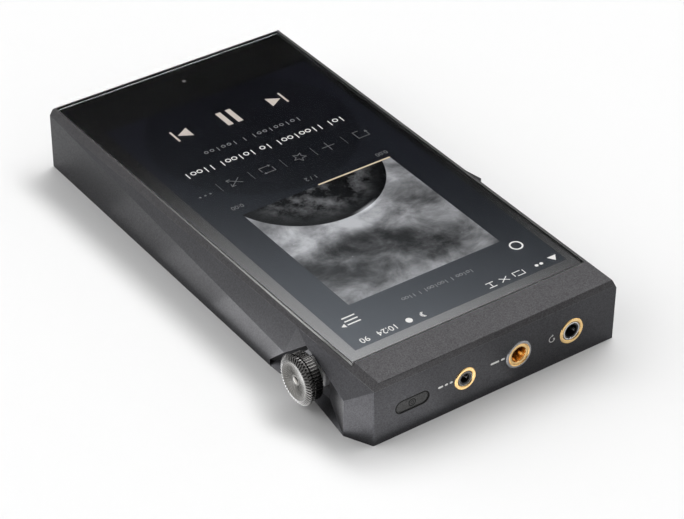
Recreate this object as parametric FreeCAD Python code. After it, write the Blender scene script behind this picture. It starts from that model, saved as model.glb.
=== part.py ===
import FreeCAD, Part
import math
import os

from FreeCAD import Vector

# Pocket digital audio player, lying on its back with the screen up.
# Working frame, in millimetres: +Z out of the screen, +Y towards the end with the headphone jacks,
# +X towards the side with the volume wheel, x = y = 0 at the middle of the display, z = 0 on the table.
# Every node is moved at export so that the origin is at the middle of the footprint.

# Body outline
BODY_HEIGHT = 17.8
JACK_END_Y = 68.05
PORT_END_Y = -73.15
LEFT_WALL_X = -35.9
LEFT_CHAMFER_WIDTH = 1.5
LEFT_CHAMFER_HEIGHT = 2.8
RIGHT_WALL_PORT_X = 37.2
POCKET_START = (37.69, 36.1, 7.8)
GUARD_CORNER = (38.4, 61.1, 10.2)
JACK_CORNER_X = 34.9
FRAME_THICKNESS = 2.1
SEAM_Z = BODY_HEIGHT - FRAME_THICKNESS
EDGE_BREAK = 0.18
PORT_BEVEL = 0.4

# Bright strip: the wheel-side edge of the front frame, steep at the jack end and sloping at the port end
STRIP_TOP_JACK_X = 34.87
STRIP_TOP_PORT_X = 36.3
STRIP_FOOT_JACK_X = 34.95
STRIP_FOOT_PORT_X = 37.33
FLARE_APEX_Y = -67.3
FLARE_END_Y = 38.28

# Wheel pocket
GUARD_START = (36.42, 43.4, 13.95)
POCKET_BACK_X = 34.5
POCKET_FLOOR_Z = 1.97
POCKET_FLOOR_Y = (42.5, 50.23)
POCKET_NOTCH = (36.65, 47.4, 0.0)
POCKET_NOTCH_START = (37.43, 34.15, 0.0)

# Hollow of the housing
FLOOR_BOTTOM_Z = 0.9
FLOOR_TOP_Z = 1.7
LEDGE_Z = 13.0
CAVITY_LEFT_X = -34.4
CAVITY_RIGHT_X = 33.4
CAVITY_PORT_Y = -71.9
CAVITY_JACK_Y = 66.6
LEDGE_WIDTH = 1.0
REAR_INSET = 1.3

# Glass and display
GLASS_THICKNESS = 0.9
GLASS_INSET = 0.6
GLASS_GAP = 0.12
GLASS_JACK_Y = 58.6
BOND_THICKNESS = 0.1
DISPLAY_HALF_WIDTH = 32.3
DISPLAY_PORT_Y = -58.2
DISPLAY_JACK_Y = 57.2
DISPLAY_BOTTOM_Z = 14.4
SENSOR_PLACE = (1.0, -65.0)
SENSOR_RADIUS = 1.1

# Jacks: name, centre x, bore radius, gold ring outside radius, nose radius
PORT_LINE_Z = 7.85
JACK_DEPTH = 13.5
RING_PROUD = 0.15
JACKS = (
    ("3_5", -22.66, 1.75, 3.50, 2.55),
    ("4_4", -6.78, 2.20, 3.75, 2.90),
    ("2_5", 8.96, 1.25, 3.05, 2.10),
)

# Buttons
KEY_TRAVEL = 0.35
KEY_GAP = 0.12
POWER_X = 24.1
POWER_LENGTH = 9.4
POWER_WIDTH = 3.4
POWER_RECESS = 0.12
SIDE_KEY_LENGTH = 7.0
SIDE_KEY_WIDTH = 2.8
SIDE_KEY_PROUD = 0.45
SIDE_KEY_Y = {"next_button": 20.5, "play_button": 29.0, "previous_button": 37.5}
FIN_TIP = (-36.6, 14.9, 16.5)
FIN_LENGTH = 13.0
FIN_FOOT_Z = 4.0

# Volume wheel, turning about X
WHEEL_Y = 46.35
WHEEL_Z = 7.93
WHEEL_RIM_RADIUS = 6.4
WHEEL_DRUM_RADIUS = 5.85
WHEEL_GROOVE_RADIUS = 5.3
DRUM_BACK_X = 37.7
GROOVE_X = (39.9, 40.35)
RIM_FRONT_X = 41.3
CAP_RADIUS = 4.8
CAP_FRONT_X = 41.86
CAP_BACK_X = 40.6
CAP_DISH_DEPTH = 0.45
BOSS_RADIUS = 0.85
BOSS_HEIGHT = 0.15
SHAFT_RADIUS = 1.5
SHAFT_CLEARANCE = 0.04
BUSHING_RADIUS = 2.9
BUSHING_END_X = 36.9
ENCODER_BACK_X = 27.0
NUT_CORNER_RADIUS = 4.1
NUT_THICKNESS = 1.2
LIGHT_RING_RADIUS = 3.9

# Boards, battery and screws
BOARD_THICKNESS = 1.0
MAIN_BOARD_Z = 9.6
AUDIO_BOARD_Z = 3.6
MAIN_BOARD_Y = (-66.0, 14.0)
AUDIO_BOARD_Y = (12.0, 64.6)
AUDIO_BOARD_STEP_Y = 54.6
BOARD_LEFT_X = -33.2
BOARD_RIGHT_X = 32.0
AUDIO_BOARD_RIGHT_X = 25.4
BATTERY_X = (-28.5, 27.3)
BATTERY_Y = (-62.0, 4.0)
BATTERY_Z = (1.9, 8.0)
BOSS_R = 2.2
BOARD_BOSS_CLEARANCE = 0.4
SCREW_SHANK_R = 0.7
SCREW_HEAD_R = 1.4
SCREW_HEAD_H = 0.6
SCREW_LENGTH = 3.6
FRAME_SCREWS = ((-31.3, -68.6), (30.1, -68.6), (-31.3, -25.0), (30.1, -25.0),
                (-31.3, 8.0), (30.1, 8.0), (-31.3, 63.3), (30.1, 61.0))
MAIN_SCREWS = ((-30.9, -46.0), (29.7, -46.0), (-30.9, -6.0), (29.7, -6.0))
AUDIO_SCREWS = ((-30.0, 47.0), (22.0, 51.0), (-26.0, 16.0), (22.0, 17.0))

# Port end
USB_WIDTH = 9.0
USB_HEIGHT = 3.3
USB_DEPTH = 7.3
CARD_X = (12.0, 26.0)
CARD_HEIGHT = 1.5
CARD_DEPTH = 15.5

BIG = 400.0
OUTER_X = 60.0


def box(x0, x1, y0, y1, z0, z1):
    return Part.makeBox(x1 - x0, y1 - y0, z1 - z0, Vector(x0, y0, z0))


def cylinder_x(x0, x1, y, z, radius):
    return Part.makeCylinder(radius, x1 - x0, Vector(x0, y, z), Vector(1, 0, 0))


def cylinder_y(y0, y1, x, z, radius):
    return Part.makeCylinder(radius, y1 - y0, Vector(x, y0, z), Vector(0, 1, 0))


def cylinder_z(z0, z1, x, y, radius):
    return Part.makeCylinder(radius, z1 - z0, Vector(x, y, z0), Vector(0, 0, 1))


def prism_z(outline, z0, z1):
    """Upright prism over a closed outline of (x, y) points."""
    points = [Vector(x, y, z0) for x, y in outline]
    face = Part.Face(Part.makePolygon(points + points[:1]))
    return face.extrude(Vector(0, 0, z1 - z0))


def pill_y(y0, y1, x, z, length, width):
    """Rounded bar along X, pushed through the jack-end wall."""
    half = (length - width) / 2
    radius = width / 2
    bar = box(x - half, x + half, y0, y1, z - radius, z + radius)
    ends = [cylinder_y(y0, y1, x + side * half, z, radius) for side in (-1, 1)]
    return bar.multiFuse(ends).removeSplitter()


def pill_x(x0, x1, y, z, length, width):
    """Rounded bar along Y, pushed through the left wall."""
    half = (length - width) / 2
    radius = width / 2
    bar = box(x0, x1, y - half, y + half, z - radius, z + radius)
    ends = [cylinder_x(x0, x1, y + side * half, z, radius) for side in (-1, 1)]
    return bar.multiFuse(ends).removeSplitter()


def beyond(point, normal):
    """A very large block on the side of the plane that the normal points to."""
    block = Part.makeBox(BIG, BIG, BIG, Vector(-BIG / 2, -BIG / 2, 0))
    turn = FreeCAD.Rotation(Vector(0, 0, 1), Vector(*normal))
    block.Placement = FreeCAD.Placement(Vector(*point), turn)
    return block


def beyond_points(a, b, c, towards):
    """The same block for the plane through three points, on the side of a fourth."""
    pa = Vector(*a)
    normal = (Vector(*b) - pa).cross(Vector(*c) - pa)
    if normal.dot(Vector(*towards) - pa) < 0:
        normal = normal * -1
    return beyond(a, tuple(normal))


def strip_foot_x(y):
    """x of the lower edge of the bright strip at a distance along the body."""
    share = (y - FLARE_APEX_Y) / (JACK_END_Y - FLARE_APEX_Y)
    return RIGHT_WALL_PORT_X + share * (STRIP_FOOT_JACK_X - RIGHT_WALL_PORT_X)


def strip_top_x(y):
    share = (y - PORT_END_Y) / (JACK_END_Y - PORT_END_Y)
    return STRIP_TOP_PORT_X + share * (STRIP_TOP_JACK_X - STRIP_TOP_PORT_X)


def strip_tool():
    """Everything outside the bright strip, above the seam: a loft between the two ends."""
    sections = []
    for y, foot, top in (
        (PORT_END_Y, STRIP_FOOT_PORT_X, STRIP_TOP_PORT_X),
        (JACK_END_Y, STRIP_FOOT_JACK_X, STRIP_TOP_JACK_X),
    ):
        corners = ((foot, SEAM_Z), (top, BODY_HEIGHT), (top, BODY_HEIGHT + 3),
                   (OUTER_X, BODY_HEIGHT + 3), (OUTER_X, SEAM_Z))
        points = [Vector(x, y, z) for x, z in corners]
        sections.append(Part.makePolygon(points + points[:1]))
    return Part.makeLoft(sections, True, True)


def flare_tool():
    """Takes the long triangular facet out of the wheel side, up to the pocket."""
    apex = (RIGHT_WALL_PORT_X, FLARE_APEX_Y, SEAM_Z)
    foot = (strip_foot_x(FLARE_END_Y), FLARE_END_Y, SEAM_Z)
    outside = (OUTER_X, 0, BODY_HEIGHT)
    flare = beyond_points(apex, foot, POCKET_START, outside)
    turn = beyond_points(foot, POCKET_START, GUARD_START, outside)
    return flare.common(turn)


def guard_tool():
    """Slopes the shoulder above the wheel from the strip's foot out to the guard's corner."""
    foot = (strip_foot_x(FLARE_END_Y), FLARE_END_Y, SEAM_Z)
    corner = (STRIP_FOOT_JACK_X, JACK_END_Y, SEAM_Z)
    return beyond_points(foot, corner, GUARD_CORNER, (OUTER_X, 0, BODY_HEIGHT))


def pocket_tool():
    """The wheel pocket: an open-sided hollow with a sloping roof, floor and end walls."""
    tool = box(POCKET_BACK_X, OUTER_X, 30, GUARD_CORNER[1], -5, BODY_HEIGHT + 2)
    back_low = (POCKET_BACK_X, POCKET_FLOOR_Y[1], POCKET_FLOOR_Z)
    back_low_start = (POCKET_BACK_X, POCKET_FLOOR_Y[0], POCKET_FLOOR_Z)
    corner_foot = (GUARD_CORNER[0], GUARD_CORNER[1], 0.0)
    inward = Vector(POCKET_BACK_X - GUARD_START[0], 0, 0)
    roof_inner = tuple(Vector(*GUARD_START) + inward)
    start_inner = (POCKET_BACK_X, POCKET_START[1] + 2.4, POCKET_START[2])
    above = (0, 0, BIG)
    below = (0, 0, -BIG)
    for wall in (
        beyond_points(GUARD_START, GUARD_CORNER, roof_inner, above),
        beyond_points(POCKET_START, GUARD_START, start_inner, (0, -BIG, 0)),
        beyond_points(GUARD_CORNER, corner_foot, back_low, (0, BIG, 0)),
        beyond_points(POCKET_NOTCH, corner_foot, back_low, below),
        beyond_points(POCKET_NOTCH, POCKET_NOTCH_START, back_low_start, below),
    ):
        tool = tool.cut(wall)
    return tool


def side_fin():
    """Small fin that rises along the left wall and ends in front of the side buttons."""
    x, y, z = FIN_TIP
    wall = LEFT_WALL_X + 1.0
    start = [Vector(wall, y - FIN_LENGTH, FIN_FOOT_Z), Vector(LEFT_WALL_X, y - FIN_LENGTH, FIN_FOOT_Z),
             Vector(LEFT_WALL_X, y - FIN_LENGTH, z - 1.6), Vector(wall, y - FIN_LENGTH, z - 0.9)]
    tip = [Vector(wall, y, FIN_FOOT_Z), Vector(x, y, FIN_FOOT_Z), Vector(x, y, z), Vector(wall, y, z)]
    rings = [Part.makePolygon(ring + ring[:1]) for ring in (start, tip)]
    return Part.makeLoft(rings, True, True)


def envelope():
    """Solid outside shape of the closed body, with the pocket cut in."""
    outline = (
        (LEFT_WALL_X, PORT_END_Y),
        (RIGHT_WALL_PORT_X, PORT_END_Y),
        (POCKET_START[0], POCKET_START[1]),
        (GUARD_CORNER[0], GUARD_CORNER[1]),
        (JACK_CORNER_X, JACK_END_Y),
        (LEFT_WALL_X, JACK_END_Y),
    )
    body = prism_z(outline, 0, BODY_HEIGHT)
    chamfer_foot = (LEFT_WALL_X, 0, BODY_HEIGHT - LEFT_CHAMFER_HEIGHT)
    body = body.cut(beyond(chamfer_foot, (-LEFT_CHAMFER_HEIGHT, 0, LEFT_CHAMFER_WIDTH)))
    body = body.cut(strip_tool())
    body = body.cut(guard_tool())
    body = body.cut(flare_tool())
    return body.cut(pocket_tool())


def glass_outline(gap):
    """Outline of the glass, or of its seat when the gap is added."""
    grow = gap - GLASS_INSET
    return (
        (LEFT_WALL_X + LEFT_CHAMFER_WIDTH - grow, PORT_END_Y - grow),
        (strip_top_x(PORT_END_Y) + grow, PORT_END_Y - grow),
        (strip_top_x(GLASS_JACK_Y) + grow, GLASS_JACK_Y + gap),
        (LEFT_WALL_X + LEFT_CHAMFER_WIDTH - grow, GLASS_JACK_Y + gap),
    )


def display_block(z0, z1, gap):
    return box(-DISPLAY_HALF_WIDTH - gap, DISPLAY_HALF_WIDTH + gap,
               DISPLAY_PORT_Y - gap, DISPLAY_JACK_Y + gap, z0, z1)


def edges_near(shape, keep, height_range):
    """Straight outer edges whose middle passes a test, for breaking the sharp corners."""
    picked = []
    for edge in shape.Edges:
        middle = edge.CenterOfMass
        if height_range[0] < middle.z < height_range[1] and keep(middle):
            picked.append(edge)
    return picked


def break_edges(shape, edges):
    """Small chamfer on the given edges, skipping any edge that can't take one."""
    if not edges:
        return shape
    try:
        result = shape.makeChamfer(EDGE_BREAK, edges)
    except Exception:
        return shape
    return result if result.isValid() and result.Volume > 0 else shape


def front_frame():
    body = envelope().common(box(-BIG, BIG, -BIG, BIG, SEAM_Z, BIG))
    seat_z = BODY_HEIGHT - GLASS_THICKNESS - BOND_THICKNESS
    body = body.cut(prism_z(glass_outline(GLASS_GAP), seat_z, BODY_HEIGHT + 1))
    body = body.cut(display_block(SEAM_Z - 1, BODY_HEIGHT, 0.3))
    body = body.cut(cylinder_z(SEAM_Z - 1, BODY_HEIGHT, SENSOR_PLACE[0], SENSOR_PLACE[1], SENSOR_RADIUS))
    top = BODY_HEIGHT - 0.01
    jack_edge = [e for e in body.Edges
                 if e.CenterOfMass.z > top and abs(e.CenterOfMass.y - JACK_END_Y) < 0.01]
    body = break_edges(body, jack_edge)
    return body.cut(beyond((0, PORT_END_Y, BODY_HEIGHT - PORT_BEVEL), (0, -1, 1)))


def boss(x, y, top):
    return cylinder_z(FLOOR_TOP_Z, top, x, y, BOSS_R)


def screw_hole(x, y, top):
    return cylinder_z(top - SCREW_LENGTH, top, x, y, SCREW_SHANK_R)


def main_housing():
    """One-piece tub: outer walls, floor, ledge for the chassis, bosses, and every opening."""
    body = envelope().common(box(-BIG, BIG, -BIG, BIG, -1, SEAM_Z))
    body = body.cut(box(CAVITY_LEFT_X, CAVITY_RIGHT_X, CAVITY_PORT_Y, CAVITY_JACK_Y, LEDGE_Z, BIG))
    body = body.cut(box(CAVITY_LEFT_X + LEDGE_WIDTH, CAVITY_RIGHT_X - LEDGE_WIDTH,
                        CAVITY_PORT_Y + LEDGE_WIDTH, CAVITY_JACK_Y - LEDGE_WIDTH, FLOOR_TOP_Z, BIG))
    body = body.cut(prism_z(rear_outline(0.0), -1, FLOOR_BOTTOM_Z))
    bosses = [boss(x, y, LEDGE_Z) for x, y in FRAME_SCREWS]
    bosses += [boss(x, y, MAIN_BOARD_Z) for x, y in MAIN_SCREWS]
    bosses += [boss(x, y, AUDIO_BOARD_Z) for x, y in AUDIO_SCREWS]
    body = body.fuse(bosses)
    holes = [screw_hole(x, y, LEDGE_Z) for x, y in FRAME_SCREWS]
    holes += [screw_hole(x, y, MAIN_BOARD_Z) for x, y in MAIN_SCREWS]
    holes += [cylinder_z(FLOOR_TOP_Z + 0.3, AUDIO_BOARD_Z, x, y, SCREW_SHANK_R) for x, y in AUDIO_SCREWS]
    inner = CAVITY_JACK_Y - LEDGE_WIDTH - 1
    for _, x, _, ring_radius, _ in JACKS:
        holes.append(cylinder_y(inner, JACK_END_Y + 1, x, PORT_LINE_Z, ring_radius + 0.05))
    holes.append(pill_y(inner, JACK_END_Y + 1, POWER_X, PORT_LINE_Z,
                        POWER_LENGTH + 2 * KEY_GAP, POWER_WIDTH + 2 * KEY_GAP))
    for y in SIDE_KEY_Y.values():
        holes.append(pill_x(LEFT_WALL_X - 1, CAVITY_LEFT_X + LEDGE_WIDTH + 1, y, PORT_LINE_Z,
                            SIDE_KEY_LENGTH + 2 * KEY_GAP, SIDE_KEY_WIDTH + 2 * KEY_GAP))
    holes.append(cylinder_x(CAVITY_RIGHT_X - LEDGE_WIDTH - 1, POCKET_BACK_X + 1,
                            WHEEL_Y, WHEEL_Z, BUSHING_RADIUS))
    holes.append(pill_y(PORT_END_Y - 1, CAVITY_PORT_Y + LEDGE_WIDTH + 1, 0,
                        MAIN_BOARD_Z - USB_HEIGHT / 2, USB_WIDTH, USB_HEIGHT))
    holes.append(box(CARD_X[0], CARD_X[1], PORT_END_Y - 1, CAVITY_PORT_Y + LEDGE_WIDTH + 1,
                     MAIN_BOARD_Z - CARD_HEIGHT, MAIN_BOARD_Z))
    body = body.fuse(side_fin().cut(envelope())).removeSplitter()
    for hole in holes:
        body = body.cut(hole)
    return break_edges(body, outer_housing_edges(body))


def outer_housing_edges(body):
    """The ridge of the flare and the upright corner between the guard and the jack end."""
    def close(edge, a, b):
        ends = [v.Point for v in edge.Vertexes]
        if len(ends) != 2:
            return False
        pa = Vector(*a)
        along = Vector(*b) - pa
        length = along.Length
        along.normalize()
        for p in ends:
            t = (p - pa).dot(along)
            off = (p - pa) - along * t
            if off.Length > 0.05 or t < -0.3 or t > length + 0.3:
                return False
        return True

    apex = (RIGHT_WALL_PORT_X, FLARE_APEX_Y, SEAM_Z)
    jack_foot = (JACK_CORNER_X, JACK_END_Y, 0.0)
    jack_top = (JACK_CORNER_X, JACK_END_Y, SEAM_Z)
    lines = ((apex, POCKET_START), (jack_foot, jack_top))
    return [e for e in body.Edges if any(close(e, a, b) for a, b in lines)]


def rear_outline(gap):
    left = LEFT_WALL_X + REAR_INSET + gap
    right = CAVITY_RIGHT_X - gap
    return ((left, PORT_END_Y + REAR_INSET + gap), (right, PORT_END_Y + REAR_INSET + gap),
            (right, JACK_END_Y - REAR_INSET - gap), (left, JACK_END_Y - REAR_INSET - gap))


def rear_cover():
    return prism_z(rear_outline(0.1), 0, FLOOR_BOTTOM_Z - BOND_THICKNESS)


def rear_bond():
    ring = prism_z(rear_outline(0.4), FLOOR_BOTTOM_Z - BOND_THICKNESS, FLOOR_BOTTOM_Z)
    return ring.cut(prism_z(rear_outline(4.0), -1, FLOOR_TOP_Z))


def front_glass():
    glass = prism_z(glass_outline(0.0), BODY_HEIGHT - GLASS_THICKNESS, BODY_HEIGHT)
    rim = [e for e in glass.Edges if e.CenterOfMass.z > BODY_HEIGHT - 0.01]
    return break_edges(glass, rim)


def glass_bond():
    """Black border tape that seals the glass to the front frame."""
    low = BODY_HEIGHT - GLASS_THICKNESS
    tape = prism_z(glass_outline(-0.5), low - BOND_THICKNESS, low)
    tape = tape.cut(display_block(0, BODY_HEIGHT, 1.0))
    return tape.cut(cylinder_z(0, BODY_HEIGHT, SENSOR_PLACE[0], SENSOR_PLACE[1], SENSOR_RADIUS))


def display_panel():
    return display_block(DISPLAY_BOTTOM_Z, BODY_HEIGHT - GLASS_THICKNESS - BOND_THICKNESS, 0.0)


def optical_bond():
    low = BODY_HEIGHT - GLASS_THICKNESS - BOND_THICKNESS
    return display_block(low, low + BOND_THICKNESS, -0.3)


def display_foam():
    frame = display_block(LEDGE_Z + 1.0, DISPLAY_BOTTOM_Z, -1.0)
    return frame.cut(display_block(0, BIG, -4.0))


def light_sensor():
    x, y = SENSOR_PLACE
    low = BODY_HEIGHT - GLASS_THICKNESS
    base = box(x - 2, x + 2, y - 1.5, y + 1.5, LEDGE_Z + 1.0, SEAM_Z)
    return base.fuse(cylinder_z(SEAM_Z, low, x, y, SENSOR_RADIUS - 0.05))


def chassis():
    """Aluminium middle plate that carries the display and stiffens the tub."""
    plate = box(CAVITY_LEFT_X + 0.1, CAVITY_RIGHT_X - 0.1, CAVITY_PORT_Y + 0.1, CAVITY_JACK_Y - 0.1,
                LEDGE_Z, LEDGE_Z + 1.0)
    plate = plate.cut(box(-9, 9, -60.6, -59.0, 0, BIG))
    for x, y in FRAME_SCREWS:
        plate = plate.cut(cylinder_z(LEDGE_Z + 1.0 - SCREW_HEAD_H, BIG, x, y, SCREW_HEAD_R))
        plate = plate.cut(cylinder_z(0, LEDGE_Z + 1.0, x, y, SCREW_SHANK_R))
    return plate


def screw(x, y, seat_z, shank_length):
    """Small pan-head screw with a cross recess, its head resting on the seat."""
    head = cylinder_z(seat_z, seat_z + SCREW_HEAD_H, x, y, SCREW_HEAD_R)
    shank = cylinder_z(seat_z - shank_length, seat_z, x, y, SCREW_SHANK_R)
    top = seat_z + SCREW_HEAD_H
    cross = box(x - 0.8, x + 0.8, y - 0.15, y + 0.15, top - 0.3, top + 1)
    cross = cross.fuse(box(x - 0.15, x + 0.15, y - 0.8, y + 0.8, top - 0.3, top + 1))
    return head.fuse(shank).cut(cross).removeSplitter()


def chassis_screws():
    seat = LEDGE_Z + 1.0 - SCREW_HEAD_H
    return Part.makeCompound([screw(x, y, seat, SCREW_LENGTH) for x, y in FRAME_SCREWS])


def board_screws():
    main_seat = MAIN_BOARD_Z + BOARD_THICKNESS
    audio_seat = AUDIO_BOARD_Z + BOARD_THICKNESS
    screws = [screw(x, y, main_seat, SCREW_LENGTH) for x, y in MAIN_SCREWS]
    screws += [screw(x, y, audio_seat, audio_seat - FLOOR_TOP_Z - 0.5) for x, y in AUDIO_SCREWS]
    return Part.makeCompound(screws)


def drilled_board(board, own_screws):
    for x, y in own_screws:
        board = board.cut(cylinder_z(0, BIG, x, y, SCREW_SHANK_R))
    for x, y in FRAME_SCREWS:
        board = board.cut(cylinder_z(0, BIG, x, y, BOSS_R + BOARD_BOSS_CLEARANCE))
    return board


def main_board():
    y0, y1 = MAIN_BOARD_Y
    board = box(BOARD_LEFT_X, BOARD_RIGHT_X, y0, y1, MAIN_BOARD_Z, MAIN_BOARD_Z + BOARD_THICKNESS)
    return drilled_board(board, MAIN_SCREWS)


def audio_board():
    y0, y1 = AUDIO_BOARD_Y
    outline = ((BOARD_LEFT_X, y0), (AUDIO_BOARD_RIGHT_X, y0), (AUDIO_BOARD_RIGHT_X, AUDIO_BOARD_STEP_Y),
               (BOARD_RIGHT_X, AUDIO_BOARD_STEP_Y), (BOARD_RIGHT_X, y1), (BOARD_LEFT_X, y1))
    board = prism_z(outline, AUDIO_BOARD_Z, AUDIO_BOARD_Z + BOARD_THICKNESS)
    return drilled_board(board, AUDIO_SCREWS)


def shield_can(x0, x1, y0, y1, z0, height):
    """Pressed metal can, open underneath, with a folded rim on the board."""
    wall = 0.2
    can = box(x0, x1, y0, y1, z0, z0 + height)
    return can.cut(box(x0 + wall, x1 - wall, y0 + wall, y1 - wall, z0, z0 + height - wall))


def battery():
    cell = box(BATTERY_X[0], BATTERY_X[1], BATTERY_Y[0], BATTERY_Y[1], BATTERY_Z[0], BATTERY_Z[1])
    upright = [e for e in cell.Edges if abs(e.tangentAt(e.FirstParameter).z) > 0.9]
    return cell.makeFillet(2.0, upright)


def battery_pad():
    return box(BATTERY_X[0] + 4, BATTERY_X[1] - 4, BATTERY_Y[0] + 4, BATTERY_Y[1] - 4,
               FLOOR_TOP_Z, BATTERY_Z[0])


def battery_lead():
    return box(-5, 5, BATTERY_Y[1], BATTERY_Y[1] + 0.3, 4.0, MAIN_BOARD_Z)


def board_connector():
    return box(-10, 10, 12.3, 13.7, AUDIO_BOARD_Z + BOARD_THICKNESS, MAIN_BOARD_Z)


def display_flex():
    return box(-8, 8, -59.9, -59.7, MAIN_BOARD_Z + BOARD_THICKNESS, DISPLAY_BOTTOM_Z).fuse(
        box(-8, 8, -59.9, DISPLAY_PORT_Y + 1.0, DISPLAY_BOTTOM_Z - 0.2, DISPLAY_BOTTOM_Z)).removeSplitter()


def jack_body(x, bore_radius, nose_radius):
    """Jack socket: block on the audio board with a round nose and a blind bore."""
    front = CAVITY_JACK_Y - LEDGE_WIDTH
    base = AUDIO_BOARD_Z + BOARD_THICKNESS
    half = PORT_LINE_Z - base
    block = box(x - half, x + half, front - JACK_DEPTH, front, base, PORT_LINE_Z + half)
    nose = cylinder_y(front, JACK_END_Y - 0.1, x, PORT_LINE_Z, nose_radius)
    bore = cylinder_y(front - JACK_DEPTH + 1.2, JACK_END_Y + 1, x, PORT_LINE_Z, bore_radius)
    return block.fuse(nose).removeSplitter().cut(bore)


def jack_ring(x, ring_radius, nose_radius):
    """Gold-plated collar round the mouth of a jack."""
    back = CAVITY_JACK_Y - LEDGE_WIDTH
    ring = cylinder_y(back, JACK_END_Y + RING_PROUD, x, PORT_LINE_Z, ring_radius)
    ring = ring.cut(cylinder_y(back - 1, JACK_END_Y + 1, x, PORT_LINE_Z, nose_radius))
    lip = [e for e in ring.Edges if e.CenterOfMass.y > JACK_END_Y + RING_PROUD - 0.01
           and e.Length > math.pi]
    return break_edges(ring, lip)


def power_button():
    """Pill-shaped key with a wider flange behind the wall."""
    face = JACK_END_Y - POWER_RECESS
    back = CAVITY_JACK_Y - LEDGE_WIDTH
    key = pill_y(back - 0.6, face, POWER_X, PORT_LINE_Z, POWER_LENGTH, POWER_WIDTH)
    flange = pill_y(back - 0.6, back, POWER_X, PORT_LINE_Z, POWER_LENGTH + 1.4, POWER_WIDTH + 1.4)
    key = key.fuse(flange).removeSplitter()
    rim = [e for e in key.Edges if e.CenterOfMass.y > face - 0.01]
    return break_edges(key, rim)


def power_switch():
    back = CAVITY_JACK_Y - LEDGE_WIDTH - 0.6 - KEY_TRAVEL - 0.05
    base = AUDIO_BOARD_Z + BOARD_THICKNESS
    block = box(POWER_X - 3, POWER_X + 3, back - 3.2, back - 0.6, base, PORT_LINE_Z + 2.4)
    return block.fuse(cylinder_y(back - 0.6, back, POWER_X, PORT_LINE_Z, 1.2)).removeSplitter()


def side_button(y):
    face = LEFT_WALL_X - SIDE_KEY_PROUD
    back = CAVITY_LEFT_X + LEDGE_WIDTH
    key = pill_x(face, back + 0.6, y, PORT_LINE_Z, SIDE_KEY_LENGTH, SIDE_KEY_WIDTH)
    flange = pill_x(back, back + 0.6, y, PORT_LINE_Z, SIDE_KEY_LENGTH + 1.0, SIDE_KEY_WIDTH + 1.4)
    key = key.fuse(flange).removeSplitter()
    rim = [e for e in key.Edges if e.CenterOfMass.x < face + 0.01]
    return break_edges(key, rim)


def side_switch_front():
    return CAVITY_LEFT_X + LEDGE_WIDTH + 0.6 + KEY_TRAVEL + 0.05


def side_switches():
    front = side_switch_front()
    switches = []
    for y in SIDE_KEY_Y.values():
        block = box(front + 0.3, front + 1.3, y - 2, y + 2, PORT_LINE_Z - 2, PORT_LINE_Z + 2)
        plunger = cylinder_x(front, front + 0.3, y, PORT_LINE_Z, 1.0)
        switches.append(block.fuse(plunger).removeSplitter())
    return Part.makeCompound(switches)


def side_key_board():
    low = min(SIDE_KEY_Y.values()) - 4.5
    high = max(SIDE_KEY_Y.values()) + 4.5
    x = side_switch_front() + 1.3
    return box(x, x + 0.6, low, high, AUDIO_BOARD_Z + BOARD_THICKNESS, PORT_LINE_Z + 3.2)


def turned_x(profile):
    """Solid turned about the wheel's axis from (x, radius) points."""
    points = [Vector(x, WHEEL_Y, WHEEL_Z + radius) for x, radius in profile]
    face = Part.Face(Part.makePolygon(points + points[:1]))
    return face.revolve(Vector(0, WHEEL_Y, WHEEL_Z), Vector(1, 0, 0), 360)


def wheel_rim():
    """Outer ring of the volume wheel: drum, groove, toothed band and sloping front."""
    return turned_x((
        (DRUM_BACK_X, SHAFT_RADIUS), (DRUM_BACK_X, WHEEL_DRUM_RADIUS),
        (GROOVE_X[0], WHEEL_DRUM_RADIUS), (GROOVE_X[0], WHEEL_GROOVE_RADIUS),
        (GROOVE_X[1], WHEEL_GROOVE_RADIUS), (GROOVE_X[1], WHEEL_RIM_RADIUS),
        (RIM_FRONT_X, WHEEL_RIM_RADIUS), (CAP_FRONT_X, CAP_RADIUS),
        (CAP_BACK_X, CAP_RADIUS), (CAP_BACK_X, SHAFT_RADIUS),
    ))


def wheel_cap():
    """Dished metal cap with a small boss in the middle."""
    dish = CAP_FRONT_X - CAP_DISH_DEPTH
    return turned_x((
        (CAP_BACK_X, 0), (CAP_BACK_X, CAP_RADIUS), (CAP_FRONT_X, CAP_RADIUS),
        (CAP_FRONT_X, CAP_RADIUS - 0.25), (dish, BOSS_RADIUS),
        (dish + BOSS_HEIGHT, BOSS_RADIUS - 0.15), (dish + BOSS_HEIGHT, 0),
    ))


def wheel_shaft():
    return cylinder_x(ENCODER_BACK_X + 1.5, CAP_BACK_X, WHEEL_Y, WHEEL_Z, SHAFT_RADIUS)


def volume_encoder():
    front = CAVITY_RIGHT_X - LEDGE_WIDTH - 0.1
    body = box(ENCODER_BACK_X, front, WHEEL_Y - 5, WHEEL_Y + 5, FLOOR_TOP_Z, WHEEL_Z + 5)
    bore = cylinder_x(ENCODER_BACK_X + 1.4, front + 1, WHEEL_Y, WHEEL_Z, SHAFT_RADIUS + SHAFT_CLEARANCE)
    return body.cut(bore)


def encoder_bushing():
    front = CAVITY_RIGHT_X - LEDGE_WIDTH - 0.1
    tube = cylinder_x(front, BUSHING_END_X, WHEEL_Y, WHEEL_Z, BUSHING_RADIUS)
    return tube.cut(cylinder_x(0, OUTER_X, WHEEL_Y, WHEEL_Z, SHAFT_RADIUS + SHAFT_CLEARANCE))


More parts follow.
